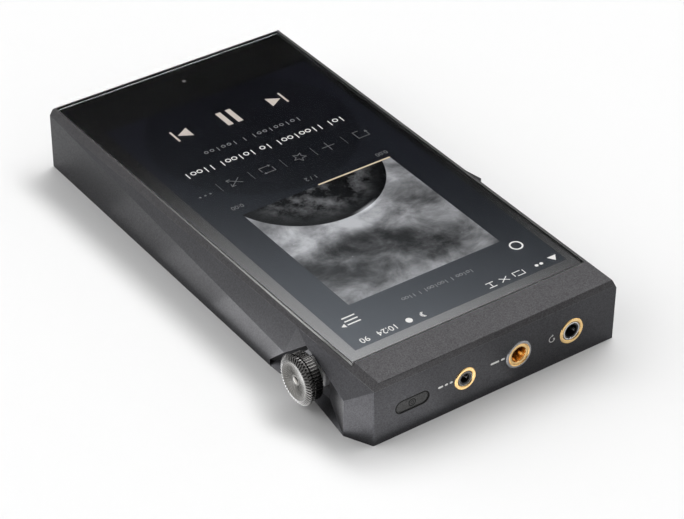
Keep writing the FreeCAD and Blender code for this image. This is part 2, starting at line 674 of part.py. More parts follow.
def encoder_nut():
    """Hexagon nut that clamps the bushing to the pocket's back wall."""
    corners = []
    for k in range(6):
        turn = math.radians(60 * k + 30)
        corners.append(Vector(POCKET_BACK_X, WHEEL_Y + NUT_CORNER_RADIUS * math.cos(turn),
                              WHEEL_Z + NUT_CORNER_RADIUS * math.sin(turn)))
    nut = Part.Face(Part.makePolygon(corners + corners[:1])).extrude(Vector(NUT_THICKNESS, 0, 0))
    return nut.cut(cylinder_x(0, OUTER_X, WHEEL_Y, WHEEL_Z, BUSHING_RADIUS))


def wheel_light_ring():
    """Clear light guide on the bushing, behind the drum."""
    back = POCKET_BACK_X + NUT_THICKNESS
    ring = cylinder_x(back, back + 0.7, WHEEL_Y, WHEEL_Z, LIGHT_RING_RADIUS)
    return ring.cut(cylinder_x(0, OUTER_X, WHEEL_Y, WHEEL_Z, BUSHING_RADIUS))


def usb_c_port():
    """Metal shell with a tongue, hanging under the main board."""
    z = MAIN_BOARD_Z - USB_HEIGHT / 2
    front = PORT_END_Y + 0.15
    shell = pill_y(front, front + USB_DEPTH, 0, z, USB_WIDTH - 0.1, USB_HEIGHT - 0.1)
    shell = shell.cut(pill_y(front - 1, front + USB_DEPTH - 1, 0, z, USB_WIDTH - 0.7, USB_HEIGHT - 0.7))
    tongue = box(-3.3, 3.3, front + 0.8, front + USB_DEPTH - 0.5, z - 0.35, z + 0.35)
    foot = box(-3, 3, front + 3, front + USB_DEPTH, z + 1.0, MAIN_BOARD_Z)
    foot = foot.cut(pill_y(front - 1, front + USB_DEPTH - 1, 0, z, USB_WIDTH - 0.7, USB_HEIGHT - 0.7))
    return shell.fuse([tongue, foot]).removeSplitter()


def card_slot():
    front = PORT_END_Y + 0.3
    shell = box(CARD_X[0] + 0.05, CARD_X[1] - 0.05, front, front + CARD_DEPTH,
                MAIN_BOARD_Z - CARD_HEIGHT + 0.05, MAIN_BOARD_Z)
    return shell.cut(box(CARD_X[0] + 1.2, CARD_X[1] - 1.2, front - 1, front + CARD_DEPTH - 1,
                         MAIN_BOARD_Z - CARD_HEIGHT + 0.3, MAIN_BOARD_Z - 0.3))


def antenna_module():
    return box(-28, -14, -65.5, -60.5, MAIN_BOARD_Z + BOARD_THICKNESS, LEDGE_Z - 0.5)


def make_nodes():
    main_top = MAIN_BOARD_Z + BOARD_THICKNESS
    audio_top = AUDIO_BOARD_Z + BOARD_THICKNESS
    nodes = {
        "main_housing": main_housing(),
        "front_frame": front_frame(),
        "front_glass": front_glass(),
        "glass_bond": glass_bond(),
        "optical_bond": optical_bond(),
        "display_panel": display_panel(),
        "display_foam": display_foam(),
        "display_flex": display_flex(),
        "light_sensor": light_sensor(),
        "chassis": chassis(),
        "chassis_screws": chassis_screws(),
        "rear_cover": rear_cover(),
        "rear_bond": rear_bond(),
        "main_board": main_board(),
        "audio_board": audio_board(),
        "board_screws": board_screws(),
        "board_connector": board_connector(),
        "processor_shield": shield_can(-26, 2, -44, -16, main_top, 1.8),
        "radio_shield": shield_can(8, 26, -52, -34, main_top, 1.8),
        "memory_shield": shield_can(8, 26, -28, -6, main_top, 1.8),
        "converter_shield": shield_can(-27, -2, 19, 44, audio_top, 3.6),
        "amplifier_shield": shield_can(0, 19, 21, 49, audio_top, 3.6),
        "battery": battery(),
        "battery_pad": battery_pad(),
        "battery_lead": battery_lead(),
        "antenna_module": antenna_module(),
        "usb_c_port": usb_c_port(),
        "card_slot": card_slot(),
        "power_button": power_button(),
        "power_switch": power_switch(),
        "side_switches": side_switches(),
        "side_key_board": side_key_board(),
        "wheel_rim": wheel_rim(),
        "wheel_cap": wheel_cap(),
        "wheel_shaft": wheel_shaft(),
        "volume_encoder": volume_encoder(),
        "encoder_bushing": encoder_bushing(),
        "encoder_nut": encoder_nut(),
        "wheel_light_ring": wheel_light_ring(),
    }
    for name, x, bore_radius, ring_radius, nose_radius in JACKS:
        nodes["jack_" + name + "_body"] = jack_body(x, bore_radius, nose_radius)
        nodes["jack_" + name + "_ring"] = jack_ring(x, ring_radius, nose_radius)
    for name, y in SIDE_KEY_Y.items():
        nodes[name] = side_button(y)
    return nodes


def main():
    os.makedirs("parts", exist_ok=True)
    nodes = make_nodes()
    middle_x = (FIN_TIP[0] + CAP_FRONT_X) / 2
    middle_y = (PORT_END_Y + JACK_END_Y + RING_PROUD) / 2
    shift = Vector(-middle_x, -middle_y, 0)
    print("shift_mm", round(shift.x, 4), round(shift.y, 4))
    for name, shape in nodes.items():
        shape.translate(shift)
        solids = len(shape.Solids)
        print(name, "solids", solids, "valid", shape.isValid(), "volume_mm3", round(shape.Volume, 1))
        shape.exportStep("parts/" + name + ".step")


main()
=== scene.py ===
import math

import bmesh
import bpy
from mathutils import Matrix, Quaternion, Vector


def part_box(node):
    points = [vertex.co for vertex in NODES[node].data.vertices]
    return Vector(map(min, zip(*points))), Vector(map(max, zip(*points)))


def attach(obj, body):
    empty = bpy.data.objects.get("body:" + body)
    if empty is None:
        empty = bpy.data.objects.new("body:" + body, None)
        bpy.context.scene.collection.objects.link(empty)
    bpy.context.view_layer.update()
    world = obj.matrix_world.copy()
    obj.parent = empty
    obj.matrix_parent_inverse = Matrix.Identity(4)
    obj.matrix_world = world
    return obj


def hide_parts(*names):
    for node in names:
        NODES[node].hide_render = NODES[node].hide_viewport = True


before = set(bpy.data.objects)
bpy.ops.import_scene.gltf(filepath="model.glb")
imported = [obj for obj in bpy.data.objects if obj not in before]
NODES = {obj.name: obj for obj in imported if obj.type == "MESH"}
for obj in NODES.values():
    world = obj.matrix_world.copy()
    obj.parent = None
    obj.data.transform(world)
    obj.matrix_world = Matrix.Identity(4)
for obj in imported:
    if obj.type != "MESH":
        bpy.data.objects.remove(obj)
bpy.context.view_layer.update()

# The looks of a pocket digital audio player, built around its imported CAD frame.
# Places are in the row frame. Lengths are written in millimetres and turned into metres by MM.
# The screen faces +Z, the headphone sockets face +Y and the volume wheel is on the +X side.

MM = 0.001
MAIN_BODY = "player_body"
WHEEL_BODY = "volume_wheel"
POWER_BODY = "power_key"


# Measures read from the frame, in millimetres

def node_box(node):
    """Lowest and highest corner of a CAD node in millimetres."""
    low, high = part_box(node)
    return low / MM, high / MM


GLASS_LOW, GLASS_HIGH = node_box("front_glass")
PANEL_LOW, PANEL_HIGH = node_box("display_panel")
RIM_LOW, RIM_HIGH = node_box("wheel_rim")
CAP_LOW, CAP_HIGH = node_box("wheel_cap")
POWER_LOW, POWER_HIGH = node_box("power_button")
_, HOUSING_HIGH = node_box("main_housing")

SENSOR_LOW, SENSOR_HIGH = node_box("light_sensor")

# The panel's driver ledge is at its port end, so its picture sits a little towards the sockets.
DRIVER_LEDGE = 1.0
SCREEN_X = (PANEL_LOW.x + PANEL_HIGH.x) / 2
SCREEN_Y = (PANEL_LOW.y + PANEL_HIGH.y + DRIVER_LEDGE) / 2
PICTURE_HALF_WIDTH = 31.1
PICTURE_HALF_HEIGHT = 55.35
PICTURE_DEPTH = 0.80
# Marks behind the glass are moved this much towards the port end, where the glass bends the sight line.
SIGHT_SHIFT = Vector((-0.29, -0.42))
SENSOR_X = (SENSOR_LOW.x + SENSOR_HIGH.x) / 2 + SIGHT_SHIFT.x
SENSOR_Y = (SENSOR_LOW.y + SENSOR_HIGH.y) / 2 + SIGHT_SHIFT.y
SENSOR_RADIUS = 0.5


# Node graph helpers

RANGE_KEYS = ("From Min", "From Max", "To Min", "To Max")


class Graph:
    """Short names for the shader nodes that a material, or the world, is made of."""

    def __init__(self, name, world=False):
        self.material = bpy.data.worlds.new(name) if world else bpy.data.materials.new(name)
        self.material.use_nodes = True
        self.tree = self.material.node_tree
        self.tree.nodes.clear()
        self.output = self.node("OutputWorld" if world else "OutputMaterial")
        self._place = None

    def node(self, kind, **settings):
        made = self.tree.nodes.new("ShaderNode" + kind)
        for key, value in settings.items():
            setattr(made, key, value)
        return made

    def link(self, source, target):
        self.tree.links.new(source, target)

    def feed(self, target, value):
        """Links an output to an input, or sets the input to a plain value."""
        if isinstance(value, bpy.types.NodeSocket):
            self.link(value, target)
        elif hasattr(target.default_value, "__len__") and not hasattr(value, "__len__"):
            target.default_value = (value, value, value, 1.0)[:len(target.default_value)]
        else:
            target.default_value = value

    def place(self):
        """The point in the row frame, in metres."""
        if self._place is None:
            self._place = self.node("TexCoord").outputs["Object"]
        return self._place

    def maths(self, operation, first, second=0.0, third=None):
        made = self.node("Math", operation=operation)
        self.feed(made.inputs[0], first)
        self.feed(made.inputs[1], second)
        if third is not None:
            self.feed(made.inputs[2], third)
        return made.outputs[0]

    def vector_maths(self, operation, first, second=None):
        made = self.node("VectorMath", operation=operation)
        self.feed(made.inputs[0], first)
        if second is not None:
            self.feed(made.inputs[1], second)
        is_number = operation in ("LENGTH", "DISTANCE", "DOT_PRODUCT")
        return made.outputs["Value" if is_number else "Vector"]

    def ramp(self, value, low, high, to_low=0.0, to_high=1.0, smooth=False):
        """value from low..high to to_low..to_high, held at both ends."""
        made = self.node("MapRange", interpolation_type="SMOOTHSTEP" if smooth else "LINEAR")
        self.feed(made.inputs["Value"], value)
        for key, number in zip(RANGE_KEYS, (low, high, to_low, to_high)):
            made.inputs[key].default_value = number
        return made.outputs["Result"]

    def noise(self, scale, detail=2.0, rough=0.5, vector=None, distortion=0.0):
        """Noise whose blobs are about 1/scale metres wide."""
        made = self.node("TexNoise")
        self.feed(made.inputs["Vector"], vector or self.place())
        made.inputs["Scale"].default_value = scale
        made.inputs["Detail"].default_value = detail
        made.inputs["Roughness"].default_value = rough
        made.inputs["Distortion"].default_value = distortion
        return made.outputs["Fac"]

    def grains(self, scale):
        """A random number for each cell of about 1/scale metres."""
        made = self.node("TexVoronoi")
        self.link(self.place(), made.inputs["Vector"])
        made.inputs["Scale"].default_value = scale
        apart = self.node("SeparateColor")
        self.link(made.outputs["Color"], apart.inputs[0])
        return apart.outputs[0]

    def axes(self, vector=None):
        apart = self.node("SeparateXYZ")
        self.feed(apart.inputs[0], vector or self.place())
        return apart.outputs

    def mix(self, share, first, second):
        """A colour between first and second."""
        made = self.node("Mix", data_type="RGBA", clamp_factor=True)
        self.feed(made.inputs[0], share)
        self.feed(made.inputs[6], first)
        self.feed(made.inputs[7], second)
        return made.outputs[2]

    def scaled(self, colour, value):
        """A colour times a number."""
        made = self.node("VectorMath", operation="SCALE")
        self.feed(made.inputs[0], colour[:3] if isinstance(colour, tuple) else colour)
        self.feed(made.inputs["Scale"], value)
        return made.outputs[0]

    def bump(self, height, strength, distance, normal=None):
        made = self.node("Bump")
        made.inputs["Strength"].default_value = strength
        made.inputs["Distance"].default_value = distance
        self.feed(made.inputs["Height"], height)
        if normal is not None:
            self.link(normal, made.inputs["Normal"])
        return made.outputs["Normal"]

    def round_edges(self, radius):
        """A normal that turns smoothly over edges of this radius in metres."""
        made = self.node("Bevel", samples=4)
        made.inputs["Radius"].default_value = radius
        return made.outputs["Normal"]

    def highlight_edge_share(self, radius):
        """1 along sharp outer and inner edges, 0 on the flats: the mask of a painted edge highlight."""
        flat = self.node("NewGeometry").outputs["Normal"]
        same = self.vector_maths("DOT_PRODUCT", self.round_edges(radius), flat)
        return self.ramp(same, 0.995, 0.88)

    def principled(self, **values):
        made = self.node("BsdfPrincipled")
        for key, value in values.items():
            self.feed(made.inputs[key.replace("_", " ")], value)
        self.link(made.outputs[0], self.output.inputs["Surface"])
        return made


def grey(value, warmth=0.0):
    """A near grey. Positive warmth leans to brown, negative to blue."""
    return (value * (1 + warmth), value, value * (1 - warmth), 1.0)


# Materials

def blasted_metal(name, colour, roughness, sparkle=0.35):
    """Anodised aluminium with a fine bead-blasted grain, and a painted highlight that lightens its outer
    and inner edges.
    """
    g = Graph(name)
    fine = g.grains(4600)
    coarse = g.noise(3400, detail=3, rough=0.6)
    cloud = g.noise(60, detail=2)
    grain = g.maths("MULTIPLY_ADD", fine, 0.5, g.maths("MULTIPLY", coarse, 0.5))
    tone = g.ramp(grain, 0.2, 0.8, 1 - sparkle, 1 + sparkle)
    tone = g.maths("MULTIPLY", tone, g.ramp(cloud, 0.3, 0.7, 0.96, 1.04))
    # Painted highlight: the base colour is lightened along every sharp edge.
    tone = g.maths("MULTIPLY_ADD", g.highlight_edge_share(0.00018), 0.45, tone)
    rounded = g.round_edges(0.00012)
    g.principled(
        Base_Color=g.scaled(colour, tone),
        Metallic=1.0,
        Roughness=g.ramp(grain, 0.2, 0.8, roughness + 0.07, roughness - 0.07),
        Normal=g.bump(grain, 0.22, 0.00004, rounded),
    )
    return g.material


def turned_metal(name, colour, roughness, lines=1500.0):
    """Machined metal with faint tool lines and small marks. lines is their number per metre."""
    g = Graph(name)
    stretch = g.vector_maths("MULTIPLY", g.place(), (1.0, 0.05, 0.05))
    line = g.noise(lines, detail=2, vector=stretch)
    speck = g.noise(900, detail=4, rough=0.7)
    g.principled(
        Base_Color=g.scaled(colour, g.ramp(speck, 0.3, 0.7, 0.9, 1.08)),
        Metallic=1.0,
        Roughness=g.ramp(line, 0.3, 0.7, roughness - 0.05, roughness + 0.08),
        Normal=g.bump(line, 0.12, 0.00002, g.round_edges(0.0001)),
    )
    return g.material


def moulded_plastic(name, colour, roughness, coat=0.0):
    """Moulded plastic or lacquer with a fine surface texture."""
    g = Graph(name)
    skin = g.noise(1400, detail=3, rough=0.6)
    cloud = g.noise(120, detail=2)
    g.principled(
        Base_Color=g.scaled(colour, g.ramp(cloud, 0.3, 0.7, 0.85, 1.12)),
        Roughness=g.ramp(skin, 0.3, 0.7, roughness - 0.04, roughness + 0.06),
        Coat_Weight=coat,
        Coat_Roughness=0.05,
        Normal=g.bump(skin, 0.08, 0.00003, g.round_edges(0.0001)),
    )
    return g.material


def plated_gold(name, middle=None, change_radius=0.0, edge_radius=0.00012):
    """Polished gold plating with faint turning marks and a paler sheen. With a middle, it is steel
    farther than change_radius (metres) from the Y axis through there, as a socket's nut is."""
    g = Graph(name)
    mark = g.noise(2600, detail=3, rough=0.6)
    colour = g.mix(g.ramp(mark, 0.35, 0.65), (0.93, 0.60, 0.24, 1), (1.0, 0.72, 0.36, 1))
    if middle is not None:
        x, _, z = g.axes()[:3]
        off = g.node("CombineXYZ")
        g.link(g.maths("SUBTRACT", x, middle.x * MM), off.inputs[0])
        g.link(g.maths("SUBTRACT", z, middle.z * MM), off.inputs[2])
        radius = g.vector_maths("LENGTH", off.outputs[0])
        outside = g.ramp(radius, change_radius - 0.00005, change_radius + 0.00005)
        colour = g.mix(outside, colour, (0.34, 0.34, 0.35, 1))
    g.principled(
        Base_Color=colour,
        Metallic=1.0,
        Roughness=g.ramp(mark, 0.3, 0.7, 0.16, 0.26),
        Normal=g.bump(mark, 0.05, 0.00002, g.round_edges(edge_radius)),
    )
    return g.material


def clear_glass(name):
    """Polished cover glass with the faintest waviness and a ground edge."""
    g = Graph(name)
    wave = g.noise(18, detail=1)
    _, _, facing_up = g.axes(g.node("NewGeometry").outputs["Normal"])[:3]
    on_face = g.ramp(g.maths("ABSOLUTE", facing_up), 0.90, 0.98)
    polish = g.ramp(wave, 0.3, 0.7, 0.01, 0.02)
    ground = 0.55
    g.principled(
        Base_Color=(0.97, 0.98, 0.99, 1.0),
        Roughness=g.maths("MULTIPLY_ADD", g.maths("SUBTRACT", 1.0, on_face), ground, polish),
        IOR=g.ramp(on_face, 0.0, 1.0, 1.15, 1.4),
        Transmission_Weight=1.0,
    )
    return g.material


def lit(name, colour, strength):
    """A lit mark of the screen. Its edge pixels vary a little in brightness."""
    g = Graph(name)
    pixel = g.noise(4000, detail=1)
    g.principled(
        Base_Color=(0.01, 0.01, 0.01, 1),
        Roughness=0.4,
        Emission_Color=colour,
        Emission_Strength=g.ramp(pixel, 0.2, 0.8, strength * 0.94, strength * 1.06),
    )
    return g.material


# Mesh helpers

def new_piece(name, mesh, material, body):
    """Links a mesh as a piece that rides on a CAD body."""
    piece = bpy.data.objects.new(name, mesh)
    bpy.context.scene.collection.objects.link(piece)
    mesh.materials.append(material)
    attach(piece, body)
    return piece


def finish_mesh(bm, name, sharp_degrees):
    """Turns a bmesh in millimetres into a mesh in metres, smooth apart from its sharp edges."""
    bmesh.ops.remove_doubles(bm, verts=bm.verts, dist=1e-5)
    bmesh.ops.recalc_face_normals(bm, faces=bm.faces)
    bmesh.ops.scale(bm, vec=(MM, MM, MM), verts=bm.verts)
    mesh = bpy.data.meshes.new(name)
    bm.to_mesh(mesh)
    bm.free()
    mesh.shade_smooth()
    mesh.set_sharp_from_angle(angle=math.radians(sharp_degrees))
    return mesh


def stroke(points, width, closed=False):
    """The quads of a line of this width through 2D points, with mitred corners."""
    points = [Vector(p) for p in points]
    count = len(points)
    sides = []
    for i, here in enumerate(points):
        before = points[i - 1] if closed or i else here
        after = points[(i + 1) % count] if closed or i < count - 1 else here
        into = (here - before).normalized() if before is not here else (after - here).normalized()
        out = (after - here).normalized() if after is not here else into
        normal_in = Vector((-into.y, into.x))
        normal_out = Vector((-out.y, out.x))
        mitre = (normal_in + normal_out).normalized()
        reach = width / 2 / max(mitre.dot(normal_in), 0.4)
        sides.append((here + mitre * reach, here - mitre * reach))
    pairs = list(zip(sides, sides[1:] + sides[:1] if closed else sides[1:]))
    return [[a[0], b[0], b[1], a[1]] for a, b in pairs]


def circle(x, y, radius, count=24, start=0.0, turn=2 * math.pi):
    """Points of a circle, or of an arc when turn is less than a full turn."""
    steps = count if turn == 2 * math.pi else count - 1
    angles = [start + turn * i / steps for i in range(count)]
    return [(x + radius * math.cos(a), y + radius * math.sin(a)) for a in angles]


def capsule(x0, x1, y, height, count=6):
    """A bar with round ends from x0 to x1."""
    radius = height / 2
    low, high = sorted((x0, x1))
    right = circle(high - radius, y, radius, count, -math.pi / 2, math.pi)
    left = circle(low + radius, y, radius, count, math.pi / 2, math.pi)
    return right + left


def flat_mesh(name, outlines, low, high, to_row):
    """A mesh of thin plates. to_row turns an outline's (x, y) and a height into the row frame."""
    bm = bmesh.new()
    for outline in outlines:
        bottom = [bm.verts.new(to_row(p[0], p[1], low)) for p in outline]
        top = [bm.verts.new(to_row(p[0], p[1], high)) for p in outline]
        bm.faces.new(bottom)
        bm.faces.new(top)
        for i in range(len(outline)):
            j = (i + 1) % len(outline)
            bm.faces.new((bottom[i], bottom[j], top[j], top[i]))
    bmesh.ops.recalc_face_normals(bm, faces=bm.faces)
    bmesh.ops.scale(bm, vec=(MM, MM, MM), verts=bm.verts)
    mesh = bpy.data.meshes.new(name)
    bm.to_mesh(mesh)
    bm.free()
    return mesh


def screen_point(x, y, z):
    """A point of the picture, measured from the middle of the screen, x to the right and y up."""
    return Vector((SCREEN_X + x + SIGHT_SHIFT.x, SCREEN_Y + y + SIGHT_SHIFT.y, z))


def end_point(x, z, y):
    """A point of the socket end, from its place along X and up Z; y is how far out it lies."""
    return Vector((x, y, z))


def join_rings(bm, rings):
    """Faces between each ring of vertices and the next one, and from the last to the first."""
    for ring, after in zip(rings, rings[1:] + rings[:1]):
        for i in range(len(ring)):
            j = (i + 1) % len(ring)
            bm.faces.new((ring[i], ring[j], after[j], after[i]))


# Finishes of the CAD nodes

BODY_GREY = (0.052, 0.052, 0.056, 1.0)
FRAME_GREY = (0.048, 0.047, 0.049, 1.0)


def rear_glass(name):
    """The black-backed glass of the rear, with a faint printed mesh under its gloss."""
    g = Graph(name)
    x, y, _ = g.axes()[:3]
    rows = g.maths("ABSOLUTE", g.maths("SINE", g.maths("MULTIPLY", g.maths("ADD", x, y), 2200.0)))
    files = g.maths("ABSOLUTE", g.maths("SINE", g.maths("MULTIPLY", g.maths("SUBTRACT", x, y), 2200.0)))
    mesh_print = g.ramp(g.maths("MULTIPLY", rows, files), 0.2, 0.9)
    g.principled(
        Base_Color=g.mix(mesh_print, (0.006, 0.006, 0.007, 1), (0.02, 0.02, 0.023, 1)),
        Roughness=g.ramp(g.noise(900, detail=2), 0.3, 0.7, 0.05, 0.09),
        Coat_Weight=1.0,
        Coat_Roughness=0.03,
    )
    return g.material


def slot_materials():
    """A procedural material for each material slot of the record."""
    return {
        "body_metal": blasted_metal("blasted_housing_metal", BODY_GREY, 0.40, sparkle=0.22),
        "frame_metal": blasted_metal("blasted_frame_metal", FRAME_GREY, 0.40, sparkle=0.35),
        "glass": clear_glass("polished_cover_glass"),
        "display": moulded_plastic("dark_panel_face", grey(0.02), 0.3),
        "black_tape": moulded_plastic("black_adhesive", grey(0.012), 0.5),
        "clear_bond": moulded_plastic("clear_adhesive", grey(0.05), 0.3),
        "foam": moulded_plastic("closed_cell_foam", grey(0.03), 0.9),
        "flex_film": moulded_plastic("amber_film", (0.5, 0.22, 0.05, 1), 0.35),
        "sensor_plastic": moulded_plastic("sensor_window", (0.02, 0.018, 0.03, 1), 0.15, coat=0.5),
        "chassis_metal": turned_metal("rolled_aluminium", grey(0.62), 0.35),
        "screw_steel": turned_metal("plated_screw_steel", grey(0.45), 0.3),
        "rear_glass": rear_glass("black_backed_glass"),
        "circuit_board": moulded_plastic("solder_mask", (0.01, 0.05, 0.035, 1), 0.35),
        "shield_metal": turned_metal("tinned_sheet", grey(0.7, 0.01), 0.3),
        "battery_pouch": turned_metal("pouch_foil", grey(0.5), 0.45),
        "connector_plastic": moulded_plastic("black_connector_plastic", grey(0.012), 0.4),
        "gold": plated_gold("polished_gold"),
        "key_metal": blasted_metal("blasted_key_metal", grey(0.036), 0.36),
        "wheel_metal": turned_metal("machined_wheel_metal", grey(0.34), 0.25),
        "wheel_cap_metal": turned_metal("cap_metal", grey(0.6, 0.02), 0.25),
        "steel": turned_metal("turned_steel", grey(0.55), 0.28),
        "light_guide": moulded_plastic("clear_light_guide", grey(0.6), 0.2, coat=0.3),
    }


def finish_cad_nodes():
    """Gives every CAD node its procedural material."""
    materials = slot_materials()
    ring_low, ring_high = node_box("jack_4_4_ring")
    big_nut = plated_gold("steel_rimmed_gold_nut", (ring_low + ring_high) / 2, 0.0031, 0.00015)
    for node in NODES.values():
        for holder in node.material_slots:
            holder.material = materials[holder.material.name.split(".")[0]]
    NODES["jack_4_4_ring"].material_slots[0].material = big_nut


# The screen

PICTURE_TOP = GLASS_HIGH.z - PICTURE_DEPTH
PICTURE_BOTTOM = PICTURE_TOP - 0.02
MARK_BOTTOM = PICTURE_TOP + 0.005
MARK_TOP = PICTURE_TOP + 0.02
# The print starts this far inside the glass, and is matt up to these insets, near and far side.
PRINT_INSET = 0.10
EDGE_PRINT_INSET = 0.30
FAR_EDGE_PRINT_INSET = 0.68
WALL = 0.03
GLASS_GAP = 0.12
ART_HALF = 22.4
ART_Y = 18.1
STATUS_Y = 53.2


def glossy_screen(g, gloss, colour, strength):
    """Ends a graph as a lit panel that mirrors the studio a little."""
    g.principled(
        Base_Color=gloss,
        Metallic=1.0,
        Roughness=0.06,
        Emission_Color=colour,
        Emission_Strength=strength,
    )
    return g.material


def picture_material():
    """The dim background of the player page, with a soft round shadow."""
    g = Graph("screen_background")
    x, y, _ = g.axes()[:3]
    up = g.ramp(y, (SCREEN_Y - PICTURE_HALF_HEIGHT) * MM, (SCREEN_Y + PICTURE_HALF_HEIGHT) * MM)
    cloud = g.noise(55, detail=4, rough=0.55)
    middle = g.vector_maths(
        "DISTANCE", g.place(), (SCREEN_X * MM, (SCREEN_Y - 34.0) * MM, PICTURE_TOP * MM)
    )
    disc = g.ramp(middle, 0.027, 0.0285, 0.55, 1.0, smooth=True)
    level = g.maths("MULTIPLY", g.ramp(cloud, 0.3, 0.7, 0.85, 1.15), disc)
    tint = g.mix(up, (0.0050, 0.0050, 0.0078, 1), (0.0085, 0.0100, 0.013, 1))
    return glossy_screen(g, (0.215, 0.235, 0.26, 1), g.scaled(tint, level), 1.0)


def art_material():
    """Invented cover art: grey clouds, small stars and a dark, cratered ball."""
    g = Graph("cover_picture")
    centre = ((SCREEN_X + SIGHT_SHIFT.x) * MM, (SCREEN_Y + SIGHT_SHIFT.y + ART_Y) * MM, 0.0)
    flat = g.node("Mapping")
    g.link(g.place(), flat.inputs["Vector"])
    flat.inputs["Location"].default_value = (-centre[0], -centre[1], 0.0)
    at = g.vector_maths("MULTIPLY", flat.outputs[0], (1.0, 1.0, 0.0))

    banks = g.noise(50, detail=7, rough=0.55, vector=g.vector_maths("MULTIPLY", at, (0.7, 1.25, 1.0)))
    wisps = g.noise(90, detail=8, rough=0.62, vector=at, distortion=0.4)
    cloud = g.maths("MULTIPLY_ADD", wisps, 0.6, g.maths("MULTIPLY", banks, 0.65))
    _, up, _ = g.axes(at)[:3]
    from_band = g.maths("ABSOLUTE", g.maths("SUBTRACT", up, 0.010))
    dark_band = g.ramp(from_band, 0.002, 0.014, -0.08, 0.04, smooth=True)
    sky = g.ramp(g.maths("ADD", cloud, dark_band), 0.46, 0.78, 0.10, 0.86)
    sky = g.maths("MULTIPLY", sky, sky)

    cells = g.node("TexVoronoi")
    g.link(at, cells.inputs["Vector"])
    cells.inputs["Scale"].default_value = 420
    lucky = g.node("SeparateColor")
    g.link(cells.outputs["Color"], lucky.inputs[0])
    star = g.ramp(cells.outputs["Distance"], 0.10, 0.02, 0.0, 1.0)
    star = g.maths("MULTIPLY", star, g.ramp(lucky.outputs[1], 0.86, 1.0, 0.0, 0.8))
    sky = g.maths("ADD", sky, star)

    ball_middle = (0.0015, -0.0290, 0.0)
    ball_radius = 0.0223
    from_ball = g.vector_maths("DISTANCE", at, ball_middle)
    crust = g.noise(260, detail=10, rough=0.75, vector=at)
    patches = g.noise(70, detail=3, vector=at)
    shade = g.ramp(from_ball, ball_radius * 0.55, ball_radius * 0.97, 1.0, 0.02, smooth=True)
    face = g.ramp(g.maths("MULTIPLY", crust, patches), 0.20, 0.38, 0.0, 0.30)
    face = g.maths("MULTIPLY", face, shade)
    on_ball = g.ramp(from_ball, ball_radius * 0.993, ball_radius, 1.0, 0.0)
    glow_place = (-0.0045, ball_radius - 0.0290 - 0.0006, 0.0)
    glow = g.ramp(g.vector_maths("DISTANCE", at, glow_place), 0.0, 0.0055, 0.7, 0.0, smooth=True)
    edge = g.ramp(g.maths("ABSOLUTE", g.maths("SUBTRACT", from_ball, ball_radius)), 0.0, 0.0011, 1.0, 0.0)
    glow = g.maths("MULTIPLY", glow, edge)
    level = g.maths("ADD", g.mix(on_ball, sky, face), glow)
    return glossy_screen(g, (0.14, 0.15, 0.16, 1), g.scaled((0.95, 0.96, 1.0), level), 0.7)


def border_material():
    """The black print behind the glass round the picture: glossy, so it mirrors the studio."""
    g = Graph("printed_border")
    speck = g.noise(700, detail=2)
    g.principled(
        Base_Color=(0.62, 0.62, 0.625, 1),
        Metallic=1.0,
        Roughness=g.ramp(speck, 0.3, 0.7, 0.04, 0.06),
    )
    return g.material


def rectangle(x0, y0, x1, y1):
    return [(x0, y0), (x1, y0), (x1, y1), (x0, y1)]


def transport_marks():
    """Previous, pause and next."""
    y = -43.4
    half = 2.1
    marks = [rectangle(x - 0.75, y - 3.3, x + 0.75, y + 3.3) for x in (-0.7, 2.3)]
    for middle, way in ((14.9, 1.0), (-13.6, -1.0)):
        back = middle - way * 2.0
        tip = middle + way * 1.6
        marks.append([(tip, y), (back, y + half), (back, y - half)])
        marks += stroke([(tip + way * 0.9, y - half - 0.4), (tip + way * 0.9, y + half + 0.4)], 0.55)
    return marks


def star_points(x, y, outer, inner):
    """The ten corners of a five-pointed star."""
    tips = circle(x, y, outer, 10, math.pi / 2)
    notches = circle(x, y, inner, 10, math.pi / 2)
    return [notches[i] if i % 2 else tips[i] for i in range(10)]


def tool_marks():
    """The row of thin function icons: more, shuffle, repeat, favourite, add and share."""
    line = 0.2
    y = -17.5
    marks = [circle(25.4 + dx, y + 1.0, 0.3, 10) for dx in (-1.5, 0.0, 1.5)]
    marks += stroke([(14.3, y - 1.2), (17.5, y + 1.4)], line)
    marks += stroke([(14.3, y + 1.2), (17.5, y - 1.4)], line)
    marks += stroke([(16.6, y + 1.5), (17.7, y + 1.5), (17.5, y + 0.5)], line)
    marks += stroke([(16.6, y - 1.5), (17.7, y - 1.5), (17.5, y - 0.5)], line)
    marks += stroke([(4.6, y - 0.4), (4.6, y + 1.3), (7.4, y + 1.3)], line)
    marks += stroke([(8.0, y + 0.4), (8.0, y - 1.3), (5.2, y - 1.3)], line)
    marks.append([(7.3, y + 0.85), (7.3, y + 1.75), (8.0, y + 1.3)])
    marks.append([(5.3, y - 0.85), (5.3, y - 1.75), (4.6, y - 1.3)])
    marks += stroke(star_points(-3.5, y, 1.8, 0.85), line, closed=True)
    marks += stroke([(-12.4, y - 1.9), (-12.4, y + 1.9)], line) + stroke([(-14.3, y), (-12.5, y)], line)
    marks += stroke([(-12.3, y), (-10.5, y)], line)
    share = [(-22.7, y - 1.5), (-21.0, y - 1.5), (-21.0, y + 1.5), (-24.4, y + 1.5), (-24.4, y - 0.2)]
    marks += stroke(share, line)
    marks.append([(-24.9, y - 0.2), (-23.9, y - 0.2), (-24.4, y - 1.1)])
    for x in (20.6, 11.1, 1.4, -8.0, -17.4):
        marks += stroke([(x, y - 1.9), (x, y + 1.9)], 0.1)
    return marks


def word_bars(x_from, x_to, y, height, words, gap):
    """A line of plain bars, one for each word, that stands in for a line of writing."""
    total = sum(words)
    room = abs(x_to - x_from) - gap * (len(words) - 1)
    way = 1.0 if x_to > x_from else -1.0
    bars = []
    x = x_from
    for word in words:
        end = x + way * room * word / total
        bars.append(capsule(x, end, y, height))
        x = end + way * gap
    return bars


WORD_GAP = 0.7


